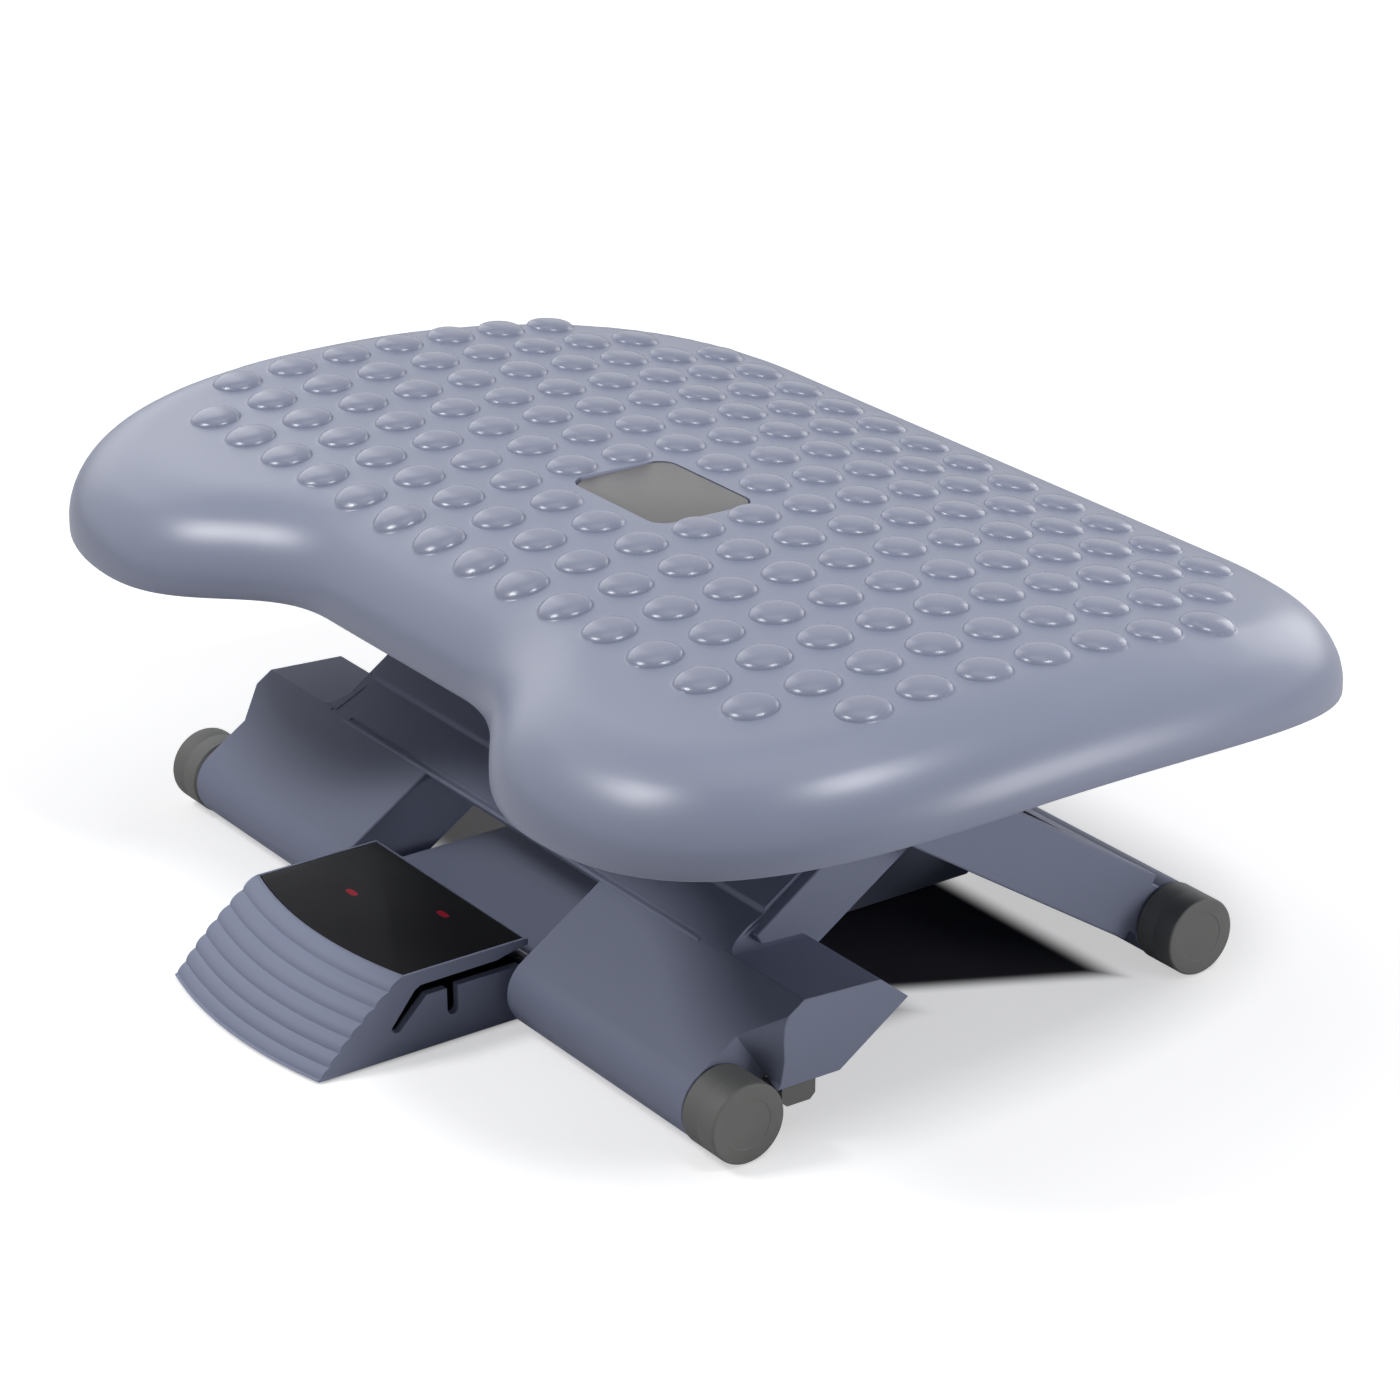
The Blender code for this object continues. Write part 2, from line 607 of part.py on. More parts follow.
def bar_screw(name, side, y, z, origin, finish):
    head = rail_out + FIT
    profile = [(rail_in - SCREW_BITE, 0), (rail_in - SCREW_BITE, SCREW_RADIUS), (head, SCREW_RADIUS),
               (head, SCREW_HEAD_RADIUS), (head + SCREW_HEAD_THICK, SCREW_HEAD_RADIUS * 0.8),
               (head + SCREW_HEAD_THICK, 0)]
    turned(name, [(side * x, r) for x, r in profile], origin, finish, y=y, z=z, sides=8)


def row_y(row):
    """How far back a bump row lies. Half rows give the fold lines between the rows."""
    steps = row - HOME_ROW
    return HOME_ROW_Y + BUMP_PITCH_Y * steps - ROW_CREEP * steps * steps


def fold_lines():
    """The lines across the platform at which its crown changes slope, from front to back."""
    lines = [row_y(row + 0.5) for row in range(BUMP_ROWS + 1)]
    first, last = lines[0] - BUMP_PITCH_Y * 1.2, lines[-1] + BUMP_PITCH_Y * 0.7
    return [first - BUMP_PITCH_Y, first] + lines + [last, last + BUMP_PITCH_Y]


def crown(y):
    """Height of the platform's crown above its highest point, straight between fold lines."""
    lines = fold_lines()
    heights = [-((line - CROWN_Y) ** 2) / (2 * CROWN_RADIUS) for line in lines]
    for i in range(len(lines) - 1):
        if y <= lines[i + 1] or i == len(lines) - 2:
            share = (y - lines[i]) / (lines[i + 1] - lines[i])
            return heights[i] + share * (heights[i + 1] - heights[i])


def under_crown(y):
    return crown_z + crown(y) - SHELL_WALL


def bezier(a, b, c, d, steps):
    """Points along a cubic curve, without its last point."""
    points = []
    for i in range(steps):
        t = i / steps
        s = 1 - t
        weights = (s ** 3, 3 * s * s * t, 3 * s * t * t, t ** 3)
        points.append(tuple(sum(w * p[k] for w, p in zip(weights, (a, b, c, d))) for k in (0, 1)))
    return points


def platform_outline():
    """The whole outer outline in plan, from the front middle round by the right."""
    half = bezier((FRONT_FLAT_HALF, FRONT_MIDDLE_Y), (FRONT_FLAT_HALF + FRONT_HANDLE, FRONT_MIDDLE_Y),
                  (LOBE_X - LOBE_HANDLE_IN, LOBE_Y), (LOBE_X, LOBE_Y), CURVE_STEPS)
    half += bezier((LOBE_X, LOBE_Y), (LOBE_X + LOBE_HANDLE_OUT, LOBE_Y),
                   (HALF_WIDTH, WIDEST_Y - SIDE_HANDLE_FRONT), (HALF_WIDTH, WIDEST_Y), CURVE_STEPS + 3)
    half += bezier((HALF_WIDTH, WIDEST_Y), (HALF_WIDTH, WIDEST_Y + SIDE_HANDLE_BACK),
                   (BACK_FLAT_HALF + BACK_HANDLE, BACK_Y), (BACK_FLAT_HALF, BACK_Y), CURVE_STEPS + 3)
    half.append((BACK_FLAT_HALF, BACK_Y))
    return half + [(-x, y) for x, y in reversed(half)]


def inset_outline(outline, distance):
    """The outline moved inwards along its own normals."""
    count = len(outline)
    moved = []
    for i in range(count):
        (ax, ay), (bx, by) = outline[i - 1], outline[(i + 1) % count]
        length = math.hypot(bx - ax, by - ay)
        moved.append((outline[i][0] - (by - ay) / length * distance,
                      outline[i][1] + (bx - ax) / length * distance))
    return moved


def platform_shell(origin, finish):
    """The platform: a crowned shell with a round rim and rows of bumps, open below."""
    outline = platform_outline()
    profile = []
    for i in range(RIM_STEPS + 1):
        turn = math.pi / 2 * i / RIM_STEPS
        profile.append((RIM_INSET * (1 - math.sin(turn)), -RIM_DROP * (1 - math.cos(turn))))
    profile.append((0, -SKIRT_DROP))
    profile.append((SHELL_WALL, -SKIRT_DROP))
    for i in range(RIM_STEPS, -1, -1):
        turn = math.pi / 2 * i / RIM_STEPS
        profile.append((SHELL_WALL + (RIM_INSET - SHELL_WALL) * (1 - math.sin(turn)),
                        -SHELL_WALL - (RIM_DROP - SHELL_WALL) * (1 - math.cos(turn))))

    def make(shape):
        sections = [[(x, y, drop) for x, y in inset_outline(outline, inset)] for inset, drop in profile]
        skin_sections(shape, sections)
        for line in fold_lines():
            bmesh.ops.bisect_plane(shape, geom=shape.verts[:] + shape.edges[:] + shape.faces[:],
                                   plane_co=(0, line, 0), plane_no=(0, 1, 0))
        for vert in shape.verts:
            vert.co.z += crown(vert.co.y) + crown_z - tilt_z
            vert.co.y -= TILT_Y

    shell = new_object("platform_shell", make, origin, finish)
    join(shell, bump_field(origin))
    lug_top = under_crown(TILT_Y) + SHELL_WALL / 2 - tilt_z
    lug = [(LUG_RADIUS + LUG_FLARE, lug_top), (-LUG_RADIUS - LUG_FLARE, lug_top)]
    lug += arc(0, 0, LUG_RADIUS, 180, 360, 10)
    for side in (-1, 1):
        name = side_name(side)
        join(shell, prism(f"tilt_lug_{name}", lug, *span(side, lug_in, lug_out), origin))
        cut(shell, rod(f"lug_hole_{name}", CRADLE_ROD_RADIUS + FIT,
                       *span(side, lug_in - CUT_PAST / 2, lug_out + CUT_PAST / 2), origin))
    seat = badge_plan(FIT)
    seat_z = badge_floor()
    cut(shell, slab("badge_seat", seat, seat_z, seat_z + BADGE_SUNK + 2 * CUT_PAST, origin))
    return shell


def inside(plan, x, y):
    """Whether a point lies within a closed plan outline."""
    hit = False
    for i in range(len(plan)):
        (ax, ay), (bx, by) = plan[i - 1], plan[i]
        if (ay > y) != (by > y) and x < (bx - ax) * (y - ay) / (by - ay) + ax:
            hit = not hit
    return hit


def is_badge_place(row, column):
    middle = (BUMP_COLUMNS - 1) / 2
    beside = abs(column - middle) * BUMP_PITCH_X < BADGE_LENGTH / 2
    return beside and abs(row_y(row) - BADGE_Y) < BADGE_DEPTH / 2


def bump_field(origin):
    """Every bump as a low dome whose root is sunk into the crown."""
    rings = ((BUMP_RADIUS, -BUMP_ROOT), (BUMP_SHOULDER, BUMP_SHOULDER_RISE))

    def dome(shape, x, y):
        rows = []
        for radius, rise in rings:
            row = []
            for i in range(BUMP_SIDES):
                turn = 2 * math.pi * (i + 0.5) / BUMP_SIDES
                px, py = x + radius * math.cos(turn), y + radius * math.sin(turn)
                row.append(shape.verts.new((px, py - TILT_Y, crown(py) + rise + crown_z - tilt_z)))
            rows.append(row)
        top = shape.verts.new((x, y - TILT_Y, crown(y) + BUMP_HEIGHT + crown_z - tilt_z))
        shape.faces.new(rows[0])
        for i in range(BUMP_SIDES):
            j = (i + 1) % BUMP_SIDES
            shape.faces.new((rows[0][i], rows[0][j], rows[1][j], rows[1][i]))
            shape.faces.new((rows[1][i], rows[1][j], top))

    field = inset_outline(platform_outline(), BUMP_MARGIN)

    def make(shape):
        for row in range(1, BUMP_ROWS + 1):
            skipped = ROW_INSETS.get(row, 0)
            for column in range(skipped, BUMP_COLUMNS - skipped):
                x, y = (column - (BUMP_COLUMNS - 1) / 2) * BUMP_PITCH_X, row_y(row)
                if inside(field, x, y) and not is_badge_place(row, column):
                    dome(shape, x, y)

    return new_object("bump_field", make, origin, None)


def badge_plan(grow=0.0):
    """The badge's rounded outline in plan, measured from the tilt axis."""
    half_x, half_y = BADGE_LENGTH / 2 + grow, BADGE_DEPTH / 2 + grow
    points = []
    for turn, sx, sy in ((0, 1, 1), (90, -1, 1), (180, -1, -1), (270, 1, -1)):
        cx, cy = sx * (half_x - BADGE_CORNER), BADGE_Y - TILT_Y + sy * (half_y - BADGE_CORNER)
        points += arc(cx, cy, BADGE_CORNER, turn, turn + 90, 3)
    return points


def badge_floor():
    edge = min(crown(BADGE_Y - BADGE_DEPTH / 2), crown(BADGE_Y + BADGE_DEPTH / 2))
    return crown_z + edge - BADGE_SUNK - tilt_z


def badge_inlay(origin, finish):
    floor = badge_floor() + FIT
    slab("badge_inlay", badge_plan(), floor, floor + BADGE_THICK, origin, finish)


def pedal_bar(origin, finish):
    """The pedal: a ribbed block with a cam slot, and a flat arm back to the rear rod."""
    floor = PEDAL_FLOOR_GAP - FOOT_RADIUS
    top = PEDAL_TOP - FOOT_RADIUS
    arm_top = ARM_TOP - FOOT_RADIUS
    front = PEDAL_FRONT_Y - rear_foot_y
    back = PEDAL_BACK_Y - rear_foot_y
    rib_back = RIB_BACK_Y - rear_foot_y
    face = [(front, floor)]
    for i in range(1, RIB_COUNT + 1):
        share = i / RIB_COUNT
        bulge = math.sin(math.pi * share) * RIB_BULGE
        y = front + (rib_back - front) * share - bulge
        z = floor + (top - floor) * share
        face += [(y - RIB_LEDGE, z), (y, z)]
    outline = face + [(back, top), (back, arm_top), (-HOOK_BACK, arm_top), (-HOOK_BACK, -HOOK_DEPTH),
                      (-HOOK_FLARE, floor)]

    def bowed(x, y, z):
        share = max(0.0, min(1.0, (rib_back + BOW_REACH - y) / BOW_REACH))
        bow = FLOOR_BOW + (TOP_BOW - FLOOR_BOW) * (z - floor) / (top - floor)
        return y + bow * (x / PEDAL_HALF) ** 2 * share

    def make(shape):
        stations = [PEDAL_HALF * (i / 4 - 1) for i in range(9)]
        skin_sections(shape, [[(x, bowed(x, y, z), z) for y, z in outline] for x in stations])

    bar = new_object("pedal_bar", make, origin, finish)
    wall = PEDAL_WALL
    under = [(front + 4 * wall, floor - CUT_PAST), (rib_back + wall, top - PEDAL_ROOF),
             (back - wall, top - PEDAL_ROOF), (back - wall, arm_top - wall),
             (-HOOK_FLARE, arm_top - wall), (-HOOK_FLARE - HOOK_ROOM, floor - CUT_PAST)]
    cut(bar, prism("pedal_hollow", under, wall - PEDAL_HALF, PEDAL_HALF - wall, origin))
    join(bar, rod("pedal_barrel", BARREL_RADIUS, -PEDAL_HALF, PEDAL_HALF, origin, sides=18))
    past = PEDAL_HALF + CUT_PAST
    cut(bar, rod("barrel_hole", ROD_RADIUS + FIT, -past, past, origin))
    cut(bar, prism("cam_slot", cam_slot(), -past, past, origin))
    plan = label_plan(FIT)
    cut(bar, slab("label_seat", plan, top - LABEL_SUNK, top + CUT_PAST, origin))
    return bar


def cam_slot():
    """Side outline of the slot: a level channel with a pocket below each place the rod can stop."""
    rod_z = LATCH_REACH * math.cos(half_swing)
    clear = LATCH_RADIUS + SLOT_CLEAR
    low, high = rod_z - clear, rod_z + clear + SLOT_LIFT
    shift = LATCH_REACH * math.sin(half_swing)
    top_stop = front_foot_y - shift - rear_foot_y
    low_stop = SCISSOR_Y + half_stance - 2 * low_half_stance + shift - rear_foot_y
    outline = []
    for centre in (FRONT_POCKET_Y - rear_foot_y, low_stop, top_stop):
        outline += [(centre - clear, low), (centre - clear, low - POCKET_DEPTH + clear)]
        outline += arc(centre, low - POCKET_DEPTH + clear, clear, 225, 315, 2)
        outline += [(centre + clear, low - POCKET_DEPTH + clear), (centre + clear, low)]
    back = top_stop + clear
    outline += [(back, high + MOUTH_RISE), (back - MOUTH_STEP, high + MOUTH_RISE / 2),
                (back - MOUTH_LENGTH, high)]
    front = FRONT_POCKET_Y - rear_foot_y
    outline += [(front + clear, high), (front - clear, low + clear)]
    return outline


def label_plan(grow=0.0):
    front = LABEL_FRONT_Y - rear_foot_y - grow
    back = LABEL_BACK_Y - rear_foot_y + grow
    points = [(LABEL_HALF + grow, back), (-LABEL_HALF - grow, back)]
    for i in range(9):
        share = i / 4 - 1
        points.append((share * (LABEL_HALF + grow), front + TOP_BOW * share * share))
    return points


def pedal_label(origin, finish):
    floor = PEDAL_TOP - FOOT_RADIUS - LABEL_SUNK + FIT
    slab("pedal_label", label_plan(), floor, floor + LABEL_THICK, origin, finish)


def build():
    clear_scene()
    finishes = make_materials()
    axle_origin = joint_origin("rear_axle_origin", rear_foot_y, FOOT_RADIUS)
    rear_origin = joint_origin("rear_frame_origin", rear_foot_y, FOOT_RADIUS, -TOP_ANGLE)
    front_origin = joint_origin("front_frame_origin", SCISSOR_Y, scissor_z, TOP_ANGLE)
    cradle_origin = joint_origin("cradle_origin", cradle_y, cradle_z)
    platform_origin = joint_origin("platform_origin", TILT_Y, tilt_z)
    pedal_origin = joint_origin("pedal_origin", rear_foot_y, FOOT_RADIUS)
    rear_axle(axle_origin, finishes)
    rear_frame(rear_origin, finishes)
    front_frame(front_origin, finishes)
    cradle(cradle_origin, finishes)
    platform_shell(platform_origin, finishes["plastic"])
    badge_inlay(platform_origin, finishes["badge"])
    pedal_bar(pedal_origin, finishes["plastic"])
    pedal_label(pedal_origin, finishes["label"])


build()
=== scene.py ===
"""Adjustable footrest: the finish of every surface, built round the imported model."""

import json
import math

import bmesh
import bpy
import numpy as np
from mathutils import Matrix, Vector
from mathutils.geometry import delaunay_2d_cdt


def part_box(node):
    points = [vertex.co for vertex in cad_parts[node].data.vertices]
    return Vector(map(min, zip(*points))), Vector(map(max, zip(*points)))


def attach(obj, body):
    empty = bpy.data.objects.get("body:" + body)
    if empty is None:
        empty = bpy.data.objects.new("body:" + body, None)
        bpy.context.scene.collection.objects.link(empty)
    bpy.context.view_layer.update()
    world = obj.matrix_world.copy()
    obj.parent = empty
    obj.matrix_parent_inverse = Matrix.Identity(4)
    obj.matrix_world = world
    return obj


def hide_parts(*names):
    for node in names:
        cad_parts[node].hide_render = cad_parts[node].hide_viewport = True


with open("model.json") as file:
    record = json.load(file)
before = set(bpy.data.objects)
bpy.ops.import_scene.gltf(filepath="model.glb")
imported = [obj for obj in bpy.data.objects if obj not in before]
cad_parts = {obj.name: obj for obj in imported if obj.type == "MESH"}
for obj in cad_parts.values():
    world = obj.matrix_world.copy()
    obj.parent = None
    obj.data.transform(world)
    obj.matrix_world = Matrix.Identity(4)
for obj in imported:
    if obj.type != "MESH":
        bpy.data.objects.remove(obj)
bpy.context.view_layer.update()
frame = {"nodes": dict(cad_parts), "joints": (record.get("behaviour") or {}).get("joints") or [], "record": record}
joint_at = {joint["name"]: Vector(joint["pos_m"]) for joint in frame["joints"]}

# The studio: a long lens from the user's right, and six soft boxes that hang round the footrest.
# Two small ones, high at the front and at the right, leave the two bright patches on the platform's rim.
camera_at = Vector((1.1052, -0.7570, 0.6461))
camera_turn = math.radians(54.86)
camera_dip = math.radians(23.03)
camera_roll = math.radians(-0.41)
lens = bpy.data.cameras.new("studio_camera")
lens.lens = 108.9
lens.sensor_width = 36.0
lens.clip_end = 20.0
level = Vector((math.cos(camera_turn), math.sin(camera_turn), 0))
ahead = Vector((-math.sin(camera_turn) * math.cos(camera_dip),
                math.cos(camera_turn) * math.cos(camera_dip), -math.sin(camera_dip)))
upward = level.cross(ahead)
right = level * math.cos(camera_roll) + upward * math.sin(camera_roll)
up = upward * math.cos(camera_roll) - level * math.sin(camera_roll)
camera = bpy.data.objects.new("studio_camera", lens)
turn = Matrix((right, up, -ahead)).transposed().to_4x4()
camera.matrix_world = Matrix.Translation(camera_at) @ turn
bpy.context.scene.collection.objects.link(camera)
bpy.context.scene.camera = camera
bpy.context.scene.view_settings.view_transform = "Standard"


def soft_lamp(name, at, aim, size, watts):
    """A square soft box pointed at a place on the footrest."""
    light = bpy.data.lights.new(name, "AREA")
    light.shape = "SQUARE"
    light.size = size
    light.energy = watts
    lamp = bpy.data.objects.new(name, light)
    lamp.location = at
    lamp.rotation_euler = (Vector(aim) - Vector(at)).to_track_quat("-Z", "Y").to_euler()
    bpy.context.scene.collection.objects.link(lamp)


soft_lamp("front_soft_box", (-0.45, -0.93, 1.24), (0.0, 0.0, 0.1), 0.40, 9.5)
soft_lamp("top_soft_box", (0.72, 0.10, 1.42), (0.0, 0.0, 0.1), 0.40, 8.6)
soft_lamp("overhead_soft_box", (-0.20, 0.05, 1.60), (0.0, 0.0, 0.1), 0.9, 2.5)
soft_lamp("left_soft_box", (-1.25, 0.05, 0.75), (0.0, 0.0, 0.1), 0.9, 2.4)
soft_lamp("right_soft_box", (1.10, 0.62, 0.20), (0.0, 0.0, 0.05), 0.5, 4.8)
soft_lamp("back_soft_box", (-0.30, 1.60, 0.50), (0.0, 0.0, 0.05), 0.8, 4.0)


# The air and the floor: both are seen as white, but only a little of that light falls on the footrest.
# The floor keeps a soft shadow, and below the stand a dark painted shadow is laid on it.
class Wire:
    """One socket of a node tree, so that shader maths reads as plain sums."""

    def __init__(self, socket):
        self.socket = socket

    def node(self, kind, settings=(), inputs=(), output=0):
        made = self.socket.id_data.nodes.new(kind)
        for name, value in dict(settings).items():
            setattr(made, name, value)
        for name, value in dict(inputs).items():
            if isinstance(value, Wire):
                self.socket.id_data.links.new(value.socket, made.inputs[name])
            else:
                made.inputs[name].default_value = value
        return Wire(made.outputs[output])

    def maths(self, operation, first, second=0.0):
        return self.node("ShaderNodeMath", {"operation": operation}, {0: first, 1: second})

    def __add__(self, other):
        return self.maths("ADD", self, other)

    def __radd__(self, other):
        return self.maths("ADD", other, self)

    def __sub__(self, other):
        return self.maths("SUBTRACT", self, other)

    def __rsub__(self, other):
        return self.maths("SUBTRACT", other, self)

    def __mul__(self, other):
        return self.maths("MULTIPLY", self, other)

    def __rmul__(self, other):
        return self.maths("MULTIPLY", other, self)

    def mix(self, low, high):
        """The colour between two colours, as far along as this wire's value."""
        return self.node("ShaderNodeMix", {"data_type": "RGBA"}, {0: self, 6: low, 7: high}, 2)


world = bpy.data.worlds.new("studio_air")
world.use_nodes = True
bpy.context.scene.world = world
air = world.node_tree.nodes["Background"]
sight = Wire(air.outputs[0]).node("ShaderNodeLightPath")
seen = sight.socket.node.outputs
seen_white = sight.maths("MAXIMUM", Wire(seen["Is Camera Ray"]), Wire(seen["Is Transmission Ray"]))
seen_white = sight.maths("MAXIMUM", seen_white, Wire(seen["Is Glossy Ray"]))
air.inputs["Color"].default_value = (0.97, 0.98, 1.0, 1.0)
room_light = 0.11
air_strength = seen_white * (1 - room_light) + room_light
world.node_tree.links.new(air_strength.socket, air.inputs["Strength"])

floor_mesh = bpy.data.meshes.new("studio_floor")
floor_half = 6.0
floor_mesh.from_pydata([(-floor_half, -floor_half, 0), (floor_half, -floor_half, 0),
                        (floor_half, floor_half, 0), (-floor_half, floor_half, 0)], [], [(0, 1, 2, 3)])
floor = bpy.data.objects.new("studio_floor", floor_mesh)
floor.location.z = -0.0004
bpy.context.scene.collection.objects.link(floor)
floor_paint = bpy.data.materials.new("floor_paint")
floor_paint.use_nodes = True
paint = floor_paint.node_tree.nodes["Principled BSDF"]
paint.inputs["Roughness"].default_value = 0.9
paint.inputs["Specular IOR Level"].default_value = 0.0
paint.inputs["Emission Strength"].default_value = 1.0
ground = Wire(paint.outputs[0])
spot = ground.node("ShaderNodeNewGeometry").socket.node.outputs["Position"]
split = ground.node("ShaderNodeSeparateXYZ", {}, {0: Wire(spot)}).socket.node.outputs
spot_x, spot_y = Wire(split[0]), Wire(split[1])


def shade_patch(half_x, y_from, y_to, soft, flare=0.0):
    """Painted shadow on the floor: one inside a stretch that can widen to the back, and nought outside, with a
    soft edge.
    """
    half_y, middle_y = (y_to - y_from) / 2, (y_to + y_from) / 2
    past_x = ground.maths("ABSOLUTE", spot_x) - (half_x - soft) - (spot_y - middle_y) * flare
    past_y = ground.maths("ABSOLUTE", spot_y - middle_y) - (half_y - soft)
    past = ground.maths("MAXIMUM", past_x, past_y) * (1 / (2 * soft))
    return ground.node("ShaderNodeMapRange", {"interpolation_type": "SMOOTHSTEP"},
                       {"Value": past, "To Min": 1.0, "To Max": 0.0})


# Painted shadows on the floor below the legs, the pedal and the deck, where the stand's shade falls.
painted_shadow_below_legs = shade_patch(0.110, -0.012, 0.094, 0.006, 0.52)
painted_shadow_below_pedal = shade_patch(0.046, -0.160, 0.003, 0.004)
painted_shadow_below_deck = shade_patch(0.116, -0.038, 0.020, 0.010) * 0.88
shaded = ground.maths("MAXIMUM", painted_shadow_below_legs, painted_shadow_below_pedal)
shaded = ground.maths("MAXIMUM", shaded, painted_shadow_below_deck)
seen_floor = Wire(ground.node("ShaderNodeLightPath").socket.node.outputs["Is Camera Ray"])
away = ground.node("ShaderNodeVectorMath", {"operation": "LENGTH"}, {0: Wire(spot)}, 1)
far_out = ground.node("ShaderNodeMapRange", {"interpolation_type": "SMOOTHSTEP"},
                      {"Value": away, "From Min": 0.35, "From Max": 1.6})
white_glow = far_out.mix((0.52, 0.52, 0.52, 1.0), (0.97, 0.97, 0.97, 1.0))
# Under the painted shadows the floor loses its glow, and its colour is painted nearly black.
floor_glow = (seen_floor * (1.0 - shaded)).mix((0.0, 0.0, 0.0, 1.0), white_glow)
floor_paint.node_tree.links.new(floor_glow.socket, paint.inputs["Emission Color"])
floor_tone = shaded.mix((0.75, 0.75, 0.76, 1.0), (0.06, 0.06, 0.07, 1.0))
floor_paint.node_tree.links.new(floor_tone.socket, paint.inputs["Base Color"])
floor_mesh.materials.append(floor_paint)

# The platform: one injection-moulded shell with a round rim and low domes in rows, hollow below.
# It is drawn from its plan outline, as the mould would be, and its skin is one closed mesh.
shell_low, shell_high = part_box("platform_shell")
crown_z = joint_at["cradle_pivot"].z + 0.0271
crown_y = -0.0079
crown_radius = 0.704
rim_inset = 0.030
rim_drop = 0.0253
skirt_drop = 0.0288
skirt_lip = 0.0008
shell_wall = 0.0035
dome_radius = 0.0091
dome_height = 0.00288
dome_fillet = 0.0012
patch_depth = 0.0125
pitch_x = 0.025
pitch_y = 0.02267
row_creep = 0.000092
row_count, column_count = 10, 16
home_row = 5
home_row_y = 0.0171
row_insets = {1: 1, 9: 1, 10: 2}
badge_low, badge_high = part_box("badge_inlay")
badge_size = badge_high - badge_low
badge_middle = (badge_high + badge_low) / 2
badge_corner = 0.007
seat_gap = 0.0004


def crown(y):
    return crown_z - (y - crown_y) ** 2 / (2 * crown_radius)


def row_y(row):
    steps = row - home_row
    return home_row_y + pitch_y * steps - row_creep * steps * steps


def bezier(a, b, c, d, steps):
    points = []
    for i in range(steps):
        t = i / steps
        weights = ((1 - t) ** 3, 3 * (1 - t) ** 2 * t, 3 * (1 - t) * t * t, t ** 3)
        points.append(sum((Vector(p) * w for w, p in zip(weights, (a, b, c, d))), Vector((0, 0))))
    return points


def platform_plan(steps=30):
    """The shell's outline in plan, from the front middle round by the right."""
    wide, back, lobe = shell_high.x, shell_high.y, shell_low.y
    front_middle, front_flat, lobe_x = -0.1019, 0.0424, 0.1345
    widest, back_flat = -0.0203, 0.1175
    half = bezier((front_flat, front_middle), (front_flat + 0.0382, front_middle),
                  (lobe_x - 0.0467, lobe), (lobe_x, lobe), steps)
    half += bezier((lobe_x, lobe), (lobe_x + 0.0612, lobe), (wide, widest - 0.0781), (wide, widest), steps)
    half += bezier((wide, widest), (wide, widest + 0.117), (back_flat + 0.090, back),
                   (back_flat, back), steps)
    flat = 24
    half += [Vector((back_flat * (1 - 2 * i / flat), back)) for i in range(flat // 2)]
    half.append(Vector((0, back)))
    start = [Vector((front_flat * i / 5, front_middle)) for i in range(1, 5)]
    half = start + half
    mirrored = [Vector((-p.x, p.y)) for p in reversed(half[:-1])]
    return half + mirrored + [Vector((0, front_middle))]


def inset(plan, distance):
    count = len(plan)
    moved = []
    for i, point in enumerate(plan):
        along = (plan[(i + 1) % count] - plan[i - 1]).normalized()
        moved.append(point + Vector((-along.y, along.x)) * distance)
    return moved


def rounded_rectangle(half_x, half_y, corner, centre, steps=6):
    points = []
    for quarter, sx, sy in ((0, 1, 1), (1, -1, 1), (2, -1, -1), (3, 1, -1)):
        for i in range(steps + 1):
            turn = math.pi / 2 * (quarter + i / steps)
            points.append(Vector((centre.x + sx * (half_x - corner) + corner * math.cos(turn),
                                  centre.y + sy * (half_y - corner) + corner * math.sin(turn))))
    return points


def inside(plan, point):
    hit = False
    for i, b in enumerate(plan):
        a = plan[i - 1]
        if (a.y > point.y) != (b.y > point.y):
            if point.x < (b.x - a.x) * (point.y - a.y) / (b.y - a.y) + a.x:
                hit = not hit
    return hit


def dome_rise(distance):
    """Height of a dome at a distance from its middle: a flat top, a round shoulder and a small fillet."""
    reach = dome_radius + dome_fillet
    if distance >= reach:
        return 0.0
    body = max(0.0, 1 - (distance / dome_radius) ** 3.4) ** 0.62 * dome_height
    foot = min(1.0, (reach - distance) / (2 * dome_fillet))
    return max(body, dome_fillet * 0.45 * foot * foot)


def rim_fall(depth):
    """How far the round rim lies below the crown at a depth inside the outline."""
    share = max(0.0, rim_inset - depth) / rim_inset
    return rim_drop * (1 - math.sqrt(1 - share * share))


def dome_places():
    for row in range(1, row_count + 1):
        skip = row_insets.get(row, 0)
        for column in range(skip, column_count - skip):
            x, y = (column - (column_count - 1) / 2) * pitch_x, row_y(row)
            beside = abs(x - badge_middle.x) < badge_size.x / 2
            if not (beside and abs(y - badge_middle.y) < badge_size.y / 2):
                yield Vector((x, y))


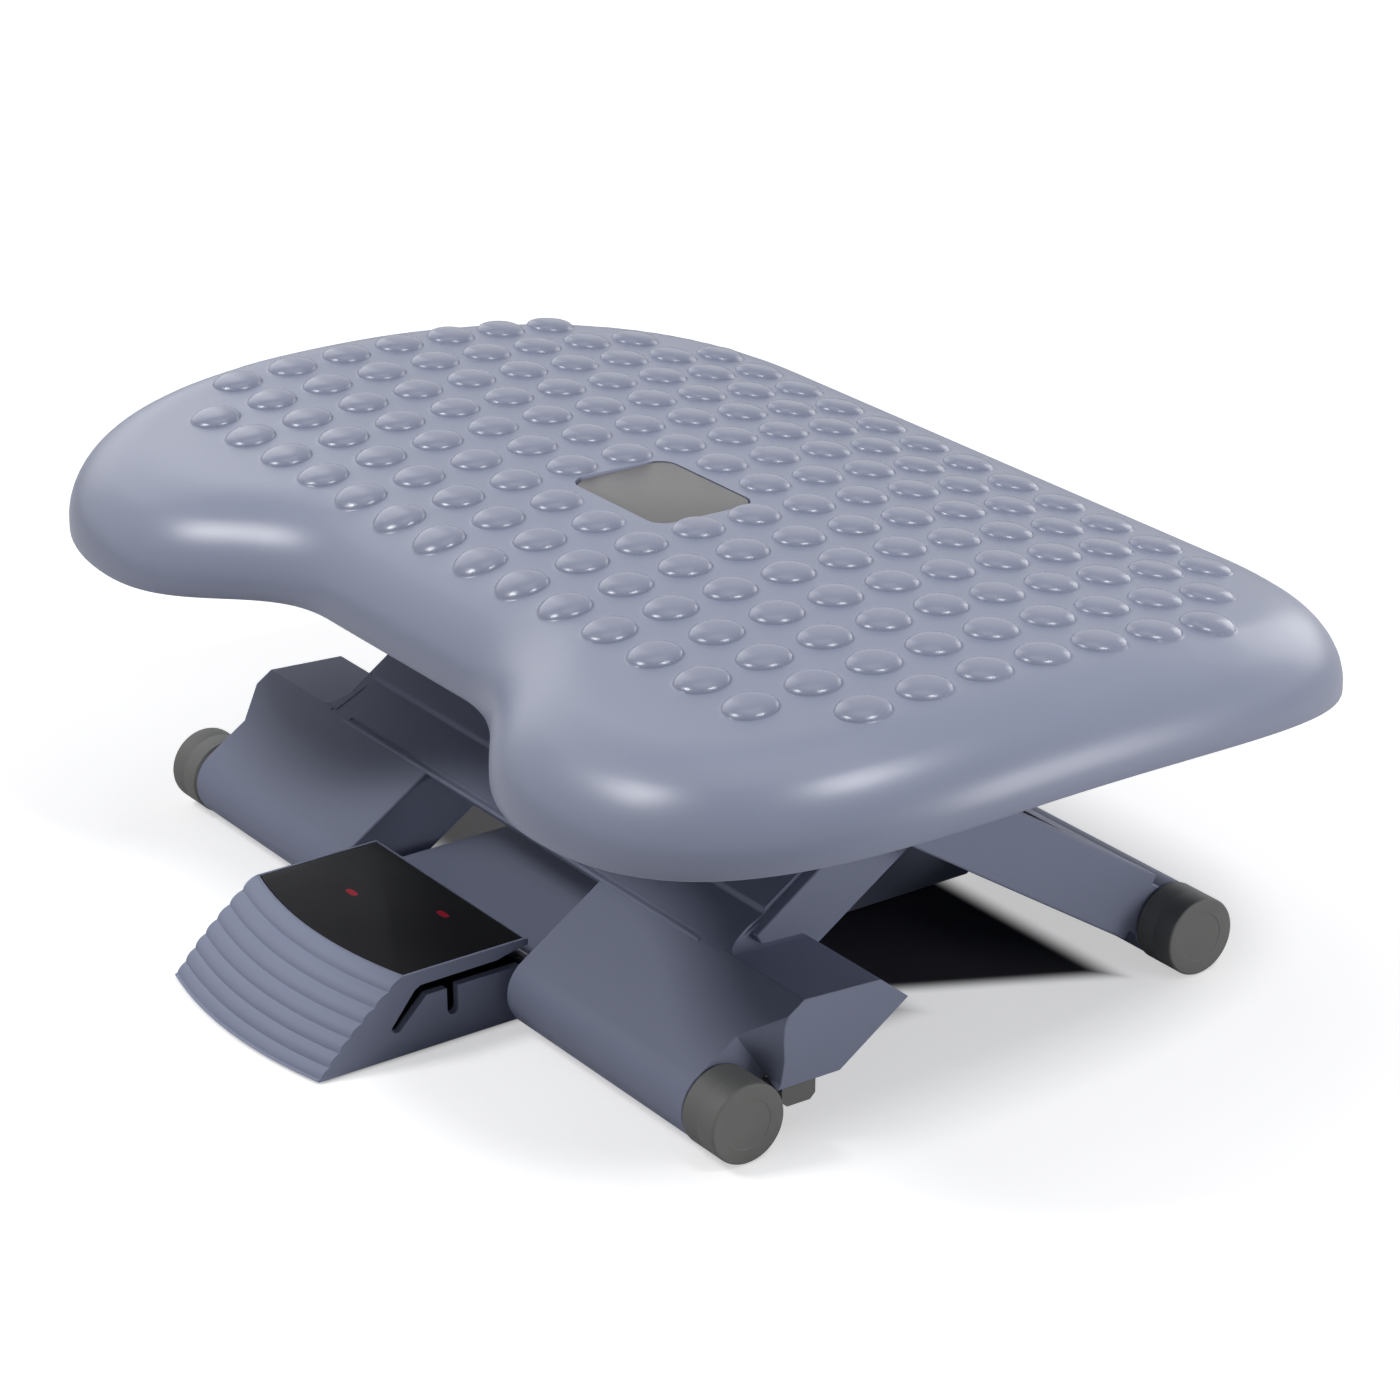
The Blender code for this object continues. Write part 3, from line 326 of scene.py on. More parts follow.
def top_patch(edge, seat):
    """Plan points and triangles of the domed top, inside the rim and round the badge's seat."""
    points, edges = [], []
    for loop in (edge, seat):
        start = len(points)
        points += loop
        edges += [(start + i, start + (i + 1) % len(loop)) for i in range(len(loop))]
    ring_sizes = ((1.13, 28), (1.06, 28), (1.0, 28), (0.975, 28), (0.935, 28), (0.88, 28), (0.80, 24),
                  (0.69, 20), (0.54, 14), (0.30, 7))
    centres = list(dome_places())
    for centre in centres:
        points.append(centre)
        for share, count in ring_sizes:
            for i in range(count):
                turn = 2 * math.pi * i / count
                points.append(centre + dome_radius * share * Vector((math.cos(turn), math.sin(turn))))
    step = 0.0050
    clear = dome_radius * 1.26
    rows = int((shell_high.y - shell_low.y) / step) + 1
    columns = int(shell_high.x / step) + 1
    tight = inset(edge, 0.0025)
    seat_clear = rounded_rectangle(badge_size.x / 2 + 0.003, badge_size.y / 2 + 0.003,
                                   badge_corner, badge_middle)
    for i in range(-columns, columns + 1):
        for j in range(rows):
            point = Vector((i * step, shell_low.y + j * step))
            near = min((point - centre).length for centre in centres)
            if near > clear and inside(tight, point) and not inside(seat_clear, point):
                points.append(point)
    found, _, triangles, origin, _, _ = delaunay_2d_cdt(points, edges, [], 0, 1e-7)
    kept = []
    for triangle in triangles:
        middle = sum((found[i] for i in triangle), Vector((0, 0))) / 3
        if inside(edge, middle) and not inside(seat, middle):
            kept.append(triangle)
    return found, kept, origin


def depth_inside(plan, points):
    """Distance of each point from the plan outline."""
    start = np.array([tuple(p) for p in plan])
    along = np.roll(start, -1, 0) - start
    spot = np.array([tuple(p) for p in points])[:, None] - start
    share = np.clip((spot * along).sum(2) / (along * along).sum(1), 0, 1)
    return np.sqrt(((spot - share[..., None] * along) ** 2).sum(2)).min(1)


def platform_mesh():
    shape = bmesh.new()
    plan = platform_plan()
    on_dome = shape.verts.layers.float.new("on_dome")
    rings = []
    steps = 14
    first_turn = math.asin(1 - patch_depth / rim_inset)
    turns = [first_turn + (math.pi / 2 - first_turn) * i / steps for i in range(steps + 1)]
    profile = [(rim_inset * (1 - math.sin(turn)), rim_drop * (1 - math.cos(turn))) for turn in turns]
    soft_lip = skirt_lip * 0.3
    profile += [(0, skirt_drop - skirt_lip), (soft_lip, skirt_drop - soft_lip), (skirt_lip, skirt_drop)]
    profile += [(shell_wall - skirt_lip, skirt_drop), (shell_wall, skirt_drop - skirt_lip)]
    inner_x, inner_z = rim_inset - shell_wall, rim_drop - shell_wall
    profile += [(shell_wall + inner_x * (1 - math.sin(math.pi / 2 * i / 6)),
                 shell_wall + inner_z * (1 - math.cos(math.pi / 2 * i / 6))) for i in range(6, -1, -1)]
    for distance, drop in profile:
        rings.append([shape.verts.new((p.x, p.y, crown(p.y) - drop)) for p in inset(plan, distance)])
    count = len(plan)
    for upper, lower in zip(rings, rings[1:]):
        for i in range(count):
            j = (i + 1) % count
            shape.faces.new((upper[i], lower[i], lower[j], upper[j]))

    edge = inset(plan, patch_depth)
    seat = rounded_rectangle(badge_size.x / 2 + seat_gap, badge_size.y / 2 + seat_gap,
                             badge_corner, badge_middle)
    found, triangles, origins = top_patch(edge, seat)
    centres = list(dome_places())
    depths = depth_inside(plan, found)
    verts = []
    for place, point in enumerate(found):
        first = min(origins[place]) if origins[place] else -1
        if 0 <= first < count:
            verts.append(rings[0][first])
            continue
        near = min((point - centre).length for centre in centres)
        height = crown(point.y) - rim_fall(float(depths[place])) + dome_rise(near)
        vert = shape.verts.new((point.x, point.y, height))
        vert[on_dome] = max(0.0, min(1.0, (dome_radius * 1.02 - near) / (dome_radius * 0.12)))
        verts.append(vert)
    for triangle in triangles:
        shape.faces.new([verts[i] for i in triangle])

    seat_floor = badge_low.z - 0.0003
    seat_low = [shape.verts.new((p.x, p.y, seat_floor)) for p in seat]
    seat_top = {tuple(round(c, 6) for c in v.co.xy): v for v in verts}
    seat_rim = [seat_top[tuple(round(c, 6) for c in p)] for p in seat]
    for i in range(len(seat)):
        j = (i + 1) % len(seat)
        shape.faces.new((seat_rim[i], seat_rim[j], seat_low[j], seat_low[i]))
    shape.faces.new(seat_low)

    under = inset(plan, rim_inset)
    spacing = 0.012
    grid = [Vector((i * spacing, shell_low.y + j * spacing)) for i in range(-18, 19) for j in range(27)]
    tight = inset(plan, rim_inset + 0.004)
    grid = [p for p in grid if inside(tight, p)]
    edges = [(i, (i + 1) % count) for i in range(count)]
    found, _, triangles, origins, _, _ = delaunay_2d_cdt(under + grid, edges, [], 0, 1e-7)
    low_verts = []
    for place, point in enumerate(found):
        first = min(origins[place]) if origins[place] else -1
        if 0 <= first < count:
            low_verts.append(rings[-1][first])
        else:
            low_verts.append(shape.verts.new((point.x, point.y, crown(point.y) - shell_wall)))
    for triangle in triangles:
        middle = sum((found[i] for i in triangle), Vector((0, 0))) / 3
        if inside(under, middle):
            shape.faces.new([low_verts[i] for i in reversed(triangle)])
    bmesh.ops.recalc_face_normals(shape, faces=shape.faces)
    mesh = bpy.data.meshes.new("platform_moulding")
    shape.to_mesh(mesh)
    shape.free()
    return mesh


def show(name, mesh, body, slot, *replaced):
    """Put a finished mesh in the scene as a piece that rides on a body of the frame."""
    piece = bpy.data.objects.new(name, mesh)
    bpy.context.scene.collection.objects.link(piece)
    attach(piece, body)
    if replaced:
        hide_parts(*replaced)


def smooth(mesh, degrees):
    mesh.shade_smooth()
    mesh.set_sharp_from_angle(angle=math.radians(degrees))


def new_material(name):
    made = bpy.data.materials.new(name)
    made.use_nodes = True
    return made, made.node_tree.nodes["Principled BSDF"]


def feed(shader, **wires):
    for name, wire in wires.items():
        shader.id_data.links.new(wire.socket, shader.inputs[name.replace("_", " ")])


def moulded_plastic(name, roughness, specular):
    """Blue-grey plastic with a fine spark-eroded grain, a little shinier on the dome tops."""
    made, shader = new_material(name)
    here = Wire(shader.outputs[0])
    place = here.node("ShaderNodeTexCoord", output=3)
    grain = here.node("ShaderNodeTexNoise", {}, {"Vector": place, "Scale": 1500.0, "Detail": 3.0,
                                                 "Roughness": 0.6})
    cloud = here.node("ShaderNodeTexNoise", {}, {"Vector": place, "Scale": 22.0, "Detail": 2.0})
    worn = here.node("ShaderNodeAttribute", {"attribute_name": "on_dome"}, output=2)
    pale, dark = (0.240, 0.264, 0.366, 1.0), (0.212, 0.235, 0.330, 1.0)
    body = (cloud * 0.7 + grain * 0.3).mix(dark, pale)
    colour = (worn * 0.35).mix(body, (0.205, 0.222, 0.315, 1.0))
    rough = roughness + (grain - 0.5) * 0.16 + (cloud - 0.5) * 0.08 - worn * 0.10
    relief = here.node("ShaderNodeBump", {}, {"Strength": 0.14, "Distance": 0.00012, "Height": grain})
    feed(shader, Base_Color=colour, Roughness=rough, Normal=relief)
    shader.inputs["Specular IOR Level"].default_value = specular
    return made


plastic = moulded_plastic("moulded_plastic", 0.55, 0.28)
crowned_plastic = moulded_plastic("moulded_plastic_platform", 0.33, 0.60)
platform_skin = platform_mesh()
smooth(platform_skin, 50)
platform_skin.materials.append(crowned_plastic)
show("platform_moulding", platform_skin, "platform", "moulded_plastic", "platform_shell")

# The badge: a thin satin plate let into a shallow seat, in place of four bumps of the fourth and fifth rows.
# Its edge is rounded over, and its face is left bare.
def badge_finish():
    made, shader = new_material("badge_plate")
    here = Wire(shader.outputs[0])
    place = here.node("ShaderNodeTexCoord", output=3)
    brushed = here.node("ShaderNodeMapping", {}, {"Vector": place, "Scale": (60.0, 900.0, 900.0)})
    streak = here.node("ShaderNodeTexNoise", {}, {"Vector": brushed, "Scale": 3.0, "Detail": 3.0})
    cloud = here.node("ShaderNodeTexNoise", {}, {"Vector": place, "Scale": 60.0, "Detail": 2.0})
    dark, pale = (0.105, 0.100, 0.100, 1.0), (0.14, 0.134, 0.134, 1.0)
    feed(shader, Base_Color=(streak * 0.5 + cloud * 0.5).mix(dark, pale),
         Roughness=0.30 + streak * 0.12 + (cloud - 0.5) * 0.06)
    return made


def slab_mesh(name, plan, z_from, z_to, round_over):
    """A flat plate with a plan outline and a rounded top edge."""
    shape = bmesh.new()
    layers = [(0.0, z_from), (0.0, z_to - round_over)]
    for turn in (math.pi / 6, math.pi / 3, math.pi / 2):
        layers.append((round_over * (1 - math.cos(turn)), z_to - round_over * (1 - math.sin(turn))))
    rings = [[shape.verts.new((p.x, p.y, z)) for p in inset(plan, distance)] for distance, z in layers]
    for low, high in zip(rings, rings[1:]):
        for i in range(len(plan)):
            j = (i + 1) % len(plan)
            shape.faces.new((low[i], low[j], high[j], high[i]))
    shape.faces.new(rings[0])
    shape.faces.new(rings[-1])
    bmesh.ops.recalc_face_normals(shape, faces=shape.faces)
    mesh = bpy.data.meshes.new(name)
    shape.to_mesh(mesh)
    shape.free()
    smooth(mesh, 40)
    return mesh


badge_slack = 0.0001
badge_outline = rounded_rectangle(badge_size.x / 2 - badge_slack, badge_size.y / 2 - badge_slack,
                                  badge_corner, badge_middle, 10)
badge_mesh = slab_mesh("badge_plate", badge_outline, badge_low.z, badge_high.z, 0.0005)
badge_mesh.materials.append(badge_finish())
show("badge_plate", badge_mesh, "platform", "badge_plate", "badge_inlay")

# The front frame: a hollow moulding that lies along its link, from the nose up under the platform.
# It is drawn flat, along and square to the link, and then leant to the link's angle.
rear_foot = joint_at["stand_height"]
scissor = joint_at["scissor_pivot"]
link_up = joint_at["cradle_pivot"] - scissor
link_lean = math.atan2(link_up.z, link_up.y)
lower_link = (scissor - rear_foot).length
upper_link = link_up.length
front_lean = (Matrix.Translation(scissor) @ Matrix.Rotation(link_lean, 4, "X")
              @ Matrix.Translation((0, -lower_link, 0)))
frame_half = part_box("front_frame")[1].x
nose_half, notch_half, wing_half = 0.154, 0.054, 0.122
nose_radius, moulding_half = 0.0133, 0.01225
crest, step = Vector((0.0384, 0.0133)), Vector((0.0578, 0.0103))
deck_half, deck_wall = 0.1205, 0.0034
beam_in, beam_out = 0.102, 0.125
pin_hole, rod_hole, glide_hole = 0.0043, 0.0033, 0.0038
drill_past = 0.002


def arc(centre_y, centre_z, radius, start, end, steps):
    return [Vector((centre_y + radius * math.cos(math.radians(start + (end - start) * i / steps)),
                    centre_z + radius * math.sin(math.radians(start + (end - start) * i / steps))))
            for i in range(steps + 1)]


def loft(sections, round_edge=0.0, segments=3):
    """A solid drawn through side outlines at places along X, with its edges rounded."""
    shape = bmesh.new()
    rows = [[shape.verts.new((x, y, z)) for y, z in outline] for x, outline in sections]
    for near, far in zip(rows, rows[1:]):
        for i in range(len(near)):
            j = (i + 1) % len(near)
            shape.faces.new((near[i], near[j], far[j], far[i]))
    shape.faces.new(rows[0])
    shape.faces.new(rows[-1])
    bmesh.ops.recalc_face_normals(shape, faces=shape.faces)
    mesh = bpy.data.meshes.new("loft")
    shape.to_mesh(mesh)
    shape.free()
    piece = bpy.data.objects.new("loft", mesh)
    bpy.context.scene.collection.objects.link(piece)
    if round_edge:
        bevel = piece.modifiers.new("round_edge", "BEVEL")
        bevel.width = round_edge
        bevel.segments = segments
        bevel.limit_method = "ANGLE"
        bevel.angle_limit = math.radians(25)
    return piece


def block(outline, x_from, x_to, round_edge=0.0, segments=3):
    return loft(((x_from, outline), (x_to, outline)), round_edge, segments)


def turned(profile, y=0.0, z=0.0, sides=64):
    """A profile of (x, radius) points turned about a line along X, closed on itself or on the line."""
    shape = bmesh.new()
    rings = []
    for x, radius in profile:
        if radius == 0:
            rings.append([shape.verts.new((x, y, z))] * sides)
        else:
            rings.append([shape.verts.new((x, y + radius * math.sin(2 * math.pi * i / sides),
                                           z + radius * math.cos(2 * math.pi * i / sides)))
                          for i in range(sides)])
    pairs = list(zip(rings, rings[1:]))
    if profile[0][1] and profile[-1][1]:
        pairs.append((rings[-1], rings[0]))
    for near, far in pairs:
        for i in range(sides):
            j = (i + 1) % sides
            shape.faces.new(list(dict.fromkeys((near[i], near[j], far[j], far[i]))))
    bmesh.ops.recalc_face_normals(shape, faces=shape.faces)
    mesh = bpy.data.meshes.new("turned")
    shape.to_mesh(mesh)
    shape.free()
    piece = bpy.data.objects.new("turned", mesh)
    bpy.context.scene.collection.objects.link(piece)
    return piece


def bar(radius, x_from, x_to, y=0.0, z=0.0, sides=48):
    return turned([(x_from, 0), (x_from, radius), (x_to, radius), (x_to, 0)], y, z, sides)


def fused(name, solids, cuts=(), lean=None, sharp=32):
    """One closed mesh from several solids, less the cuts, leant into place."""
    base = solids[0]
    for tool, operation in [(t, "UNION") for t in solids[1:]] + [(t, "DIFFERENCE") for t in cuts]:
        step_on = base.modifiers.new(operation.lower(), "BOOLEAN")
        step_on.operation = operation
        step_on.solver = "MANIFOLD"
        step_on.object = tool
    bpy.context.view_layer.update()
    ready = base.evaluated_get(bpy.context.evaluated_depsgraph_get())
    mesh = bpy.data.meshes.new_from_object(ready)
    mesh.name = name
    mesh.materials.clear()
    for tool in (*solids, *cuts):
        bpy.data.objects.remove(tool)
    if lean:
        mesh.transform(lean)
    smooth(mesh, sharp)
    carrier = bpy.data.objects.new(name, mesh)
    bpy.context.scene.collection.objects.link(carrier)
    flatten = carrier.modifiers.new("flat_faces_stay_flat", "WEIGHTED_NORMAL")
    flatten.keep_sharp = True
    bpy.context.view_layer.update()
    ready = carrier.evaluated_get(bpy.context.evaluated_depsgraph_get())
    flat = bpy.data.meshes.new_from_object(ready)
    flat.name = name
    flat.materials.clear()
    bpy.data.objects.remove(carrier)
    return flat


def both(near, far):
    return ((near, far), (-far, -near))


ridge, slope_foot = Vector((0.0397, nose_radius)), Vector((0.0637, -0.0045))


def ear_piece(side):
    """The outer end of a wing: the same flat top, a hollow front wall and a slope down at the back."""
    heights = (-0.0050, -0.0044, 0.0011, 0.0070, 0.0114, nose_radius)
    inner = (0.0180, 0.0180, 0.0180, 0.0180, 0.0180, 0.0182)
    outer = (0.0150, 0.0172, 0.0225, 0.0262, 0.0296, 0.0325)
    back = [tuple(ridge), tuple(slope_foot), (0.0680, -0.0184), (0.0355, -0.0187)]
    sections = []
    stations = [wing_half - 0.0015] + [nose_half + (frame_half - nose_half) * k / 8 for k in range(9)]
    for x in stations:
        share = max(0.0, (x - nose_half) / (frame_half - nose_half))
        front = [(a + (b - a) * share, v) for a, b, v in zip(inner, outer, heights)]
        sections.append((side * x, front + back))
    return loft(sections, 0.0009, 4)


def side_fillet(side):
    """The hollow curve where the deck's side runs down into the slope behind an ear."""
    down = (slope_foot - ridge).normalized()
    out = Vector((-down.y, down.x))
    radius = 0.007
    sections = []
    for run in (0.0004, 0.0015, 0.003, 0.0045, 0.006, 0.008, 0.010, 0.0125, 0.029):
        rise = min(radius, run * 0.52)
        turn = math.degrees(math.asin(1 - rise / radius))
        hollow = [tuple(p) for p in arc(radius, radius, radius, 270, 180 + turn, 8)]
        sections.append((run, [(-0.002, -0.001), (radius, -0.001)] + hollow + [(-0.002, rise)]))
    piece = loft(sections)
    piece.data.transform(Matrix(((0, side, 0, side * deck_half), (down.x, 0, out.x, ridge.x),
                                 (down.y, 0, out.y, ridge.y), (0, 0, 0, 1))))
    if side > 0:
        piece.data.flip_normals()
    return piece


def front_moulding():
    deck = [(crest.x - 0.001, crest.y - deck_wall), (crest.x - 0.0004, crest.y - 0.00005), tuple(step),
            (step.x + 0.0013, step.y + 0.0013), (0.150, step.y + 0.0013), (0.150, step.y - deck_wall),
            (step.x, step.y - deck_wall)]
    nose = [tuple(p) for p in arc(0, 0, nose_radius, 90, 300, 42)]
    wing = nose + [(0.0100, -moulding_half), (0.068, -moulding_half), (0.068, step.y - 0.001),
                   (step.x, step.y - 0.0006), (crest.x + 0.002, crest.y - 0.0009), tuple(crest)]
    shoulder = nose + [(0.0125, -0.0100), (0.0180, -0.0080), (0.0440, -0.0050), (0.0440, 0.0080),
                       (0.0390, nose_radius)]
    tip = lower_link + upper_link
    beam = [(0.050, 0.00975), (tip - 0.030, 0.01175)] + [tuple(p) for p in arc(tip, 0, 0.009, 90, -90, 20)]
    beam += [(tip - 0.030, -0.01175), (0.050, -0.01175)]
    hollow = [(0.071, -0.015), (0.071, 0.0067), (tip - 0.030, 0.0067), (tip - 0.018, -0.015)]
    pocket = [(0.016, -0.015), (0.016, 0.0056), (0.065, 0.0043), (0.065, -0.015)]
    solids = [block(deck, -deck_half, deck_half, 0.0005)]
    cuts = []
    for side, wing_x, shoulder_x, beam_x in zip(
            (1, -1), both(notch_half, wing_half), both(wing_half - 0.001, nose_half),
            both(beam_in, beam_out)):
        solids.append(block(wing, *wing_x, 0.0008))
        solids.append(block(shoulder, *shoulder_x, 0.0006))
        solids.append(ear_piece(side))
        solids.append(side_fillet(side))
        solids.append(block(beam, *beam_x, 0.0008))
        solids.append(bar(0.0085, beam_x[0] + 0.0003, beam_x[1] - 0.0003, lower_link))
        cuts.append(block(hollow, beam_x[0] + 0.003, beam_x[1] - 0.003))
        near, far = sorted((side * (notch_half + 0.006), side * (beam_in - 0.002)))
        cuts.append(block(pocket, near, far))
        cuts.append(bar(pin_hole, beam_x[0] - drill_past, beam_x[1] + drill_past, lower_link))
        cuts.append(bar(rod_hole, beam_x[0] - drill_past, beam_x[1] + drill_past, tip))
    bead_half = 0.1103
    solids.append(bar(0.0009, -bead_half, bead_half, crest.x - 0.0002, crest.y - 0.0004, 16))
    cuts.append(bar(0.0008, -bead_half + 0.002, bead_half - 0.002, crest.x + 0.0016, crest.y - 0.0001, 12))
    return fused("front_moulding", solids, cuts, front_lean)


front_mesh = front_moulding()
front_mesh.materials.append(plastic)
show("front_moulding", front_mesh, "front_frame", "moulded_plastic", "front_frame")


# Foot caps and pads: soft grey rubber. The caps are pushed on the ends of the nose and of the rear rod,
# each with a rolled rim and a faint mould line round its middle, and the pads are stuck on below.
def rubber_finish():
    made, shader = new_material("foot_rubber")
    here = Wire(shader.outputs[0])
    place = here.node("ShaderNodeTexCoord", output=3)
    fine = here.node("ShaderNodeTexNoise", {}, {"Vector": place, "Scale": 900.0, "Detail": 3.0})
    broad = here.node("ShaderNodeTexNoise", {}, {"Vector": place, "Scale": 70.0, "Detail": 3.0})
    dark, pale = (0.125, 0.127, 0.121, 1.0), (0.175, 0.177, 0.168, 1.0)
    feed(shader, Base_Color=(broad * 0.7 + fine * 0.3).mix(dark, pale),
         Roughness=0.58 + (broad - 0.5) * 0.2,
         Normal=here.node("ShaderNodeBump", {}, {"Strength": 0.3, "Distance": 0.0001, "Height": fine}))
    return made


rubber = rubber_finish()


def foot_cap(node, body, bore):
    """A cap drawn from its node's box, with its open end towards the middle of the stand."""
    low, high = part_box(node)
    side = 1 if low.x > 0 else -1
    near, far = (low.x, high.x) if side > 0 else (-high.x, -low.x)
    radius, y, z = (high.z - low.z) / 2, (high.y + low.y) / 2, (high.z + low.z) / 2
    rim = 0.0009
    profile = [(near + 0.012, 0), (near + 0.012, bore), (near, bore), (near, radius - 0.0008),
               (near + 0.0008, radius)]
    seam = (near + far) / 2
    profile += [(seam - 0.0004, radius), (seam, radius - 0.00012), (seam + 0.0004, radius)]
    profile += [tuple(p) for p in arc(far - rim, radius - rim, rim, 90, 0, 6)]
    profile += [(far, radius * 0.62), (far - 0.0002, radius * 0.60), (far - 0.0002, 0)]
    cap = turned([(side * x, r) for x, r in profile], y, z, 96)
    mesh = cap.data
    bpy.data.objects.remove(cap)
    smooth(mesh, 35)
    mesh.materials.append(rubber)
    show(f"{node}_rubber", mesh, body, "foot_rubber", node)


nose_bore = 0.0083
for side in ("left", "right"):
    foot_cap(f"front_cap_{side}", "front_frame", nose_bore)
for side in ("left", "right"):
    foot_cap(f"rear_cap_{side}", "rear_axle", pin_hole)
for side in ("left", "right"):
    pad = frame["nodes"][f"anti_slip_pad_{side}"].data
    pad.materials.clear()
    pad.materials.append(rubber)

# The rear frame: two flat legs on a split foot tube, with a thin web between them.
# It is the same plastic as the front frame and leans the other way.
rear_lean = Matrix.Translation(rear_foot) @ Matrix.Rotation(-link_lean, 4, "X")


def rear_moulding():
    length = lower_link + upper_link
    leg_in, leg_out, tube_in, tube_edge = 0.1275, 0.1375, 0.050, 0.0008
    neck = 0.009
    leg = [(0, -neck), (0, neck), (-0.0135, neck), (-0.0135, moulding_half), (0.035 - length, moulding_half)]
    leg += [tuple(p) for p in arc(-length, 0, 0.007, 90, 270, 20)]
    leg += [(0.035 - length, -moulding_half), (-0.0135, -moulding_half), (-0.0135, -neck)]
    web = [(-0.018, moulding_half - 0.003), (-0.018, moulding_half), (-0.054, moulding_half),
           (-0.054, moulding_half - 0.003)]
    solids = [block(web, -0.1325, 0.1325, 0.0006)]
    cuts = []
    for leg_x, tube_x in zip(both(leg_in, leg_out), both(tube_in, leg_out)):
        solids.append(block(leg, *leg_x, 0.0009))
        edge = nose_radius - tube_edge
        tube = [(tube_x[0], 0), (tube_x[0], edge), (tube_x[0] + tube_edge, nose_radius),
                (tube_x[1] - tube_edge, nose_radius), (tube_x[1], edge), (tube_x[1], 0)]
        solids.append(turned(tube, sides=96))
        cuts.append(bar(pin_hole, tube_x[0] - drill_past, tube_x[1] + drill_past))
        cuts.append(bar(pin_hole, leg_x[0] - drill_past, leg_x[1] + drill_past, -lower_link))
        cuts.append(bar(glide_hole, leg_x[0] - drill_past, leg_x[1] + drill_past, -length))
    return fused("rear_moulding", solids, cuts, rear_lean)


rear_mesh = rear_moulding()
rear_mesh.materials.append(plastic)
show("rear_moulding", rear_mesh, "rear_frame", "moulded_plastic", "rear_frame")

# The pedal: a ribbed block for the toe, open below, on a flat arm that hooks on the rear rod.
# Its front bows out in plan, and a slot with three pockets is cut through both of its sides.
pedal_low, pedal_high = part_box("pedal_bar")
pedal_top, arm_top = 0.02875, 0.0195
pedal_back, rib_back = -0.0825, -0.1380
floor_bow, top_bow = 0.0060, 0.0065
rib_count = 7
label_half, label_front, label_back = 0.0462, -0.1364, -0.0838
bow_from, bow_fade = -0.1270, 0.0085


def pedal_bowed(x, y, z):
    """How far a point of the front is set back towards the sides: most at the top edge."""
    front = max(0.0, min(1.0, (bow_from - y) / bow_fade))
    share = max(0.0, min(1.0, z / pedal_top))
    return (floor_bow + (top_bow - floor_bow) * share) * (x / pedal_high.x) ** 2 * front


def pedal_face():
    """Side points of the ribbed front, from the floor up: each rib is a round nose over a small ledge."""
    base = pedal_low.z
    points = [(pedal_low.y + 0.0006, base), (pedal_low.y, base + 0.0006)]
    rib_turns = ((0.22, 0.55), (0.45, 0.92), (0.65, 1.0), (0.83, 0.80), (0.95, 0.35), (1.0, 0.0))
    for rib in range(rib_count):
        depth = 0.0010 + 0.0007 * rib / rib_count
        for up, out in rib_turns:
            share = (rib + up) / rib_count
            y = pedal_low.y + (rib_back - pedal_low.y) * share - math.sin(math.pi * share) * 0.0022
            points.append((max(y + 0.0009 - depth * out, pedal_low.y), base + (pedal_top - base) * share))
    return points


def cam_slot():
    """Side outline of the slot: a slanted pocket, a short one, a level channel and a rising mouth."""
    half_swing, folded_lean = math.radians(9.35), math.radians(14.4)
    reach, pocket_depth = 0.0080, 0.0100
    rod_z = rear_foot.z + reach * math.cos(half_swing)
    clear = 0.0021
    low, high = rod_z - clear, rod_z + clear
    bend_y = -0.1242
    shift = reach * math.sin(half_swing)
    top_stop = 2 * scissor.y - rear_foot.y - shift
    low_stop = rear_foot.y - 2 * lower_link * math.cos(folded_lean) + shift
    front_y, front_z = -0.1336, 0.0112
    outline = [(front_y - clear, front_z)] + [tuple(p) for p in arc(front_y, front_z, clear, 180, 330, 8)]
    outline += [(bend_y + clear, low)]
    for centre in (low_stop, top_stop):
        floor_z = low - pocket_depth + clear
        outline += [(centre - clear, low), (centre - clear, floor_z)]
        outline += [tuple(p) for p in arc(centre, floor_z, clear, 200, 340, 7)]
        outline += [(centre + clear, floor_z), (centre + clear, low)]
    back = top_stop + clear
    outline += [(back, high + 0.0027), (back - 0.006, high + 0.0020), (back - 0.013, high + 0.0003)]
    outline += [(bend_y, high), (bend_y - 0.0023, high - 0.0012)]
    return outline


def label_plan(grow=0.0):
    half = label_half + grow
    points = [Vector((half, label_back + grow)), Vector((-half, label_back + grow))]
    for i in range(17):
        share = i / 8 - 1
        points.append(Vector((share * half, label_front - grow + top_bow * share * share)))
    return points


def flat_block(plan, z_from, z_to):
    lying = block([(p.y, -p.x) for p in plan], z_from, z_to)
    lying.data.transform(Matrix(((0, 0, -1, 0), (0, 1, 0, 0), (1, 0, 0, 0), (0, 0, 0, 1))))
    return lying


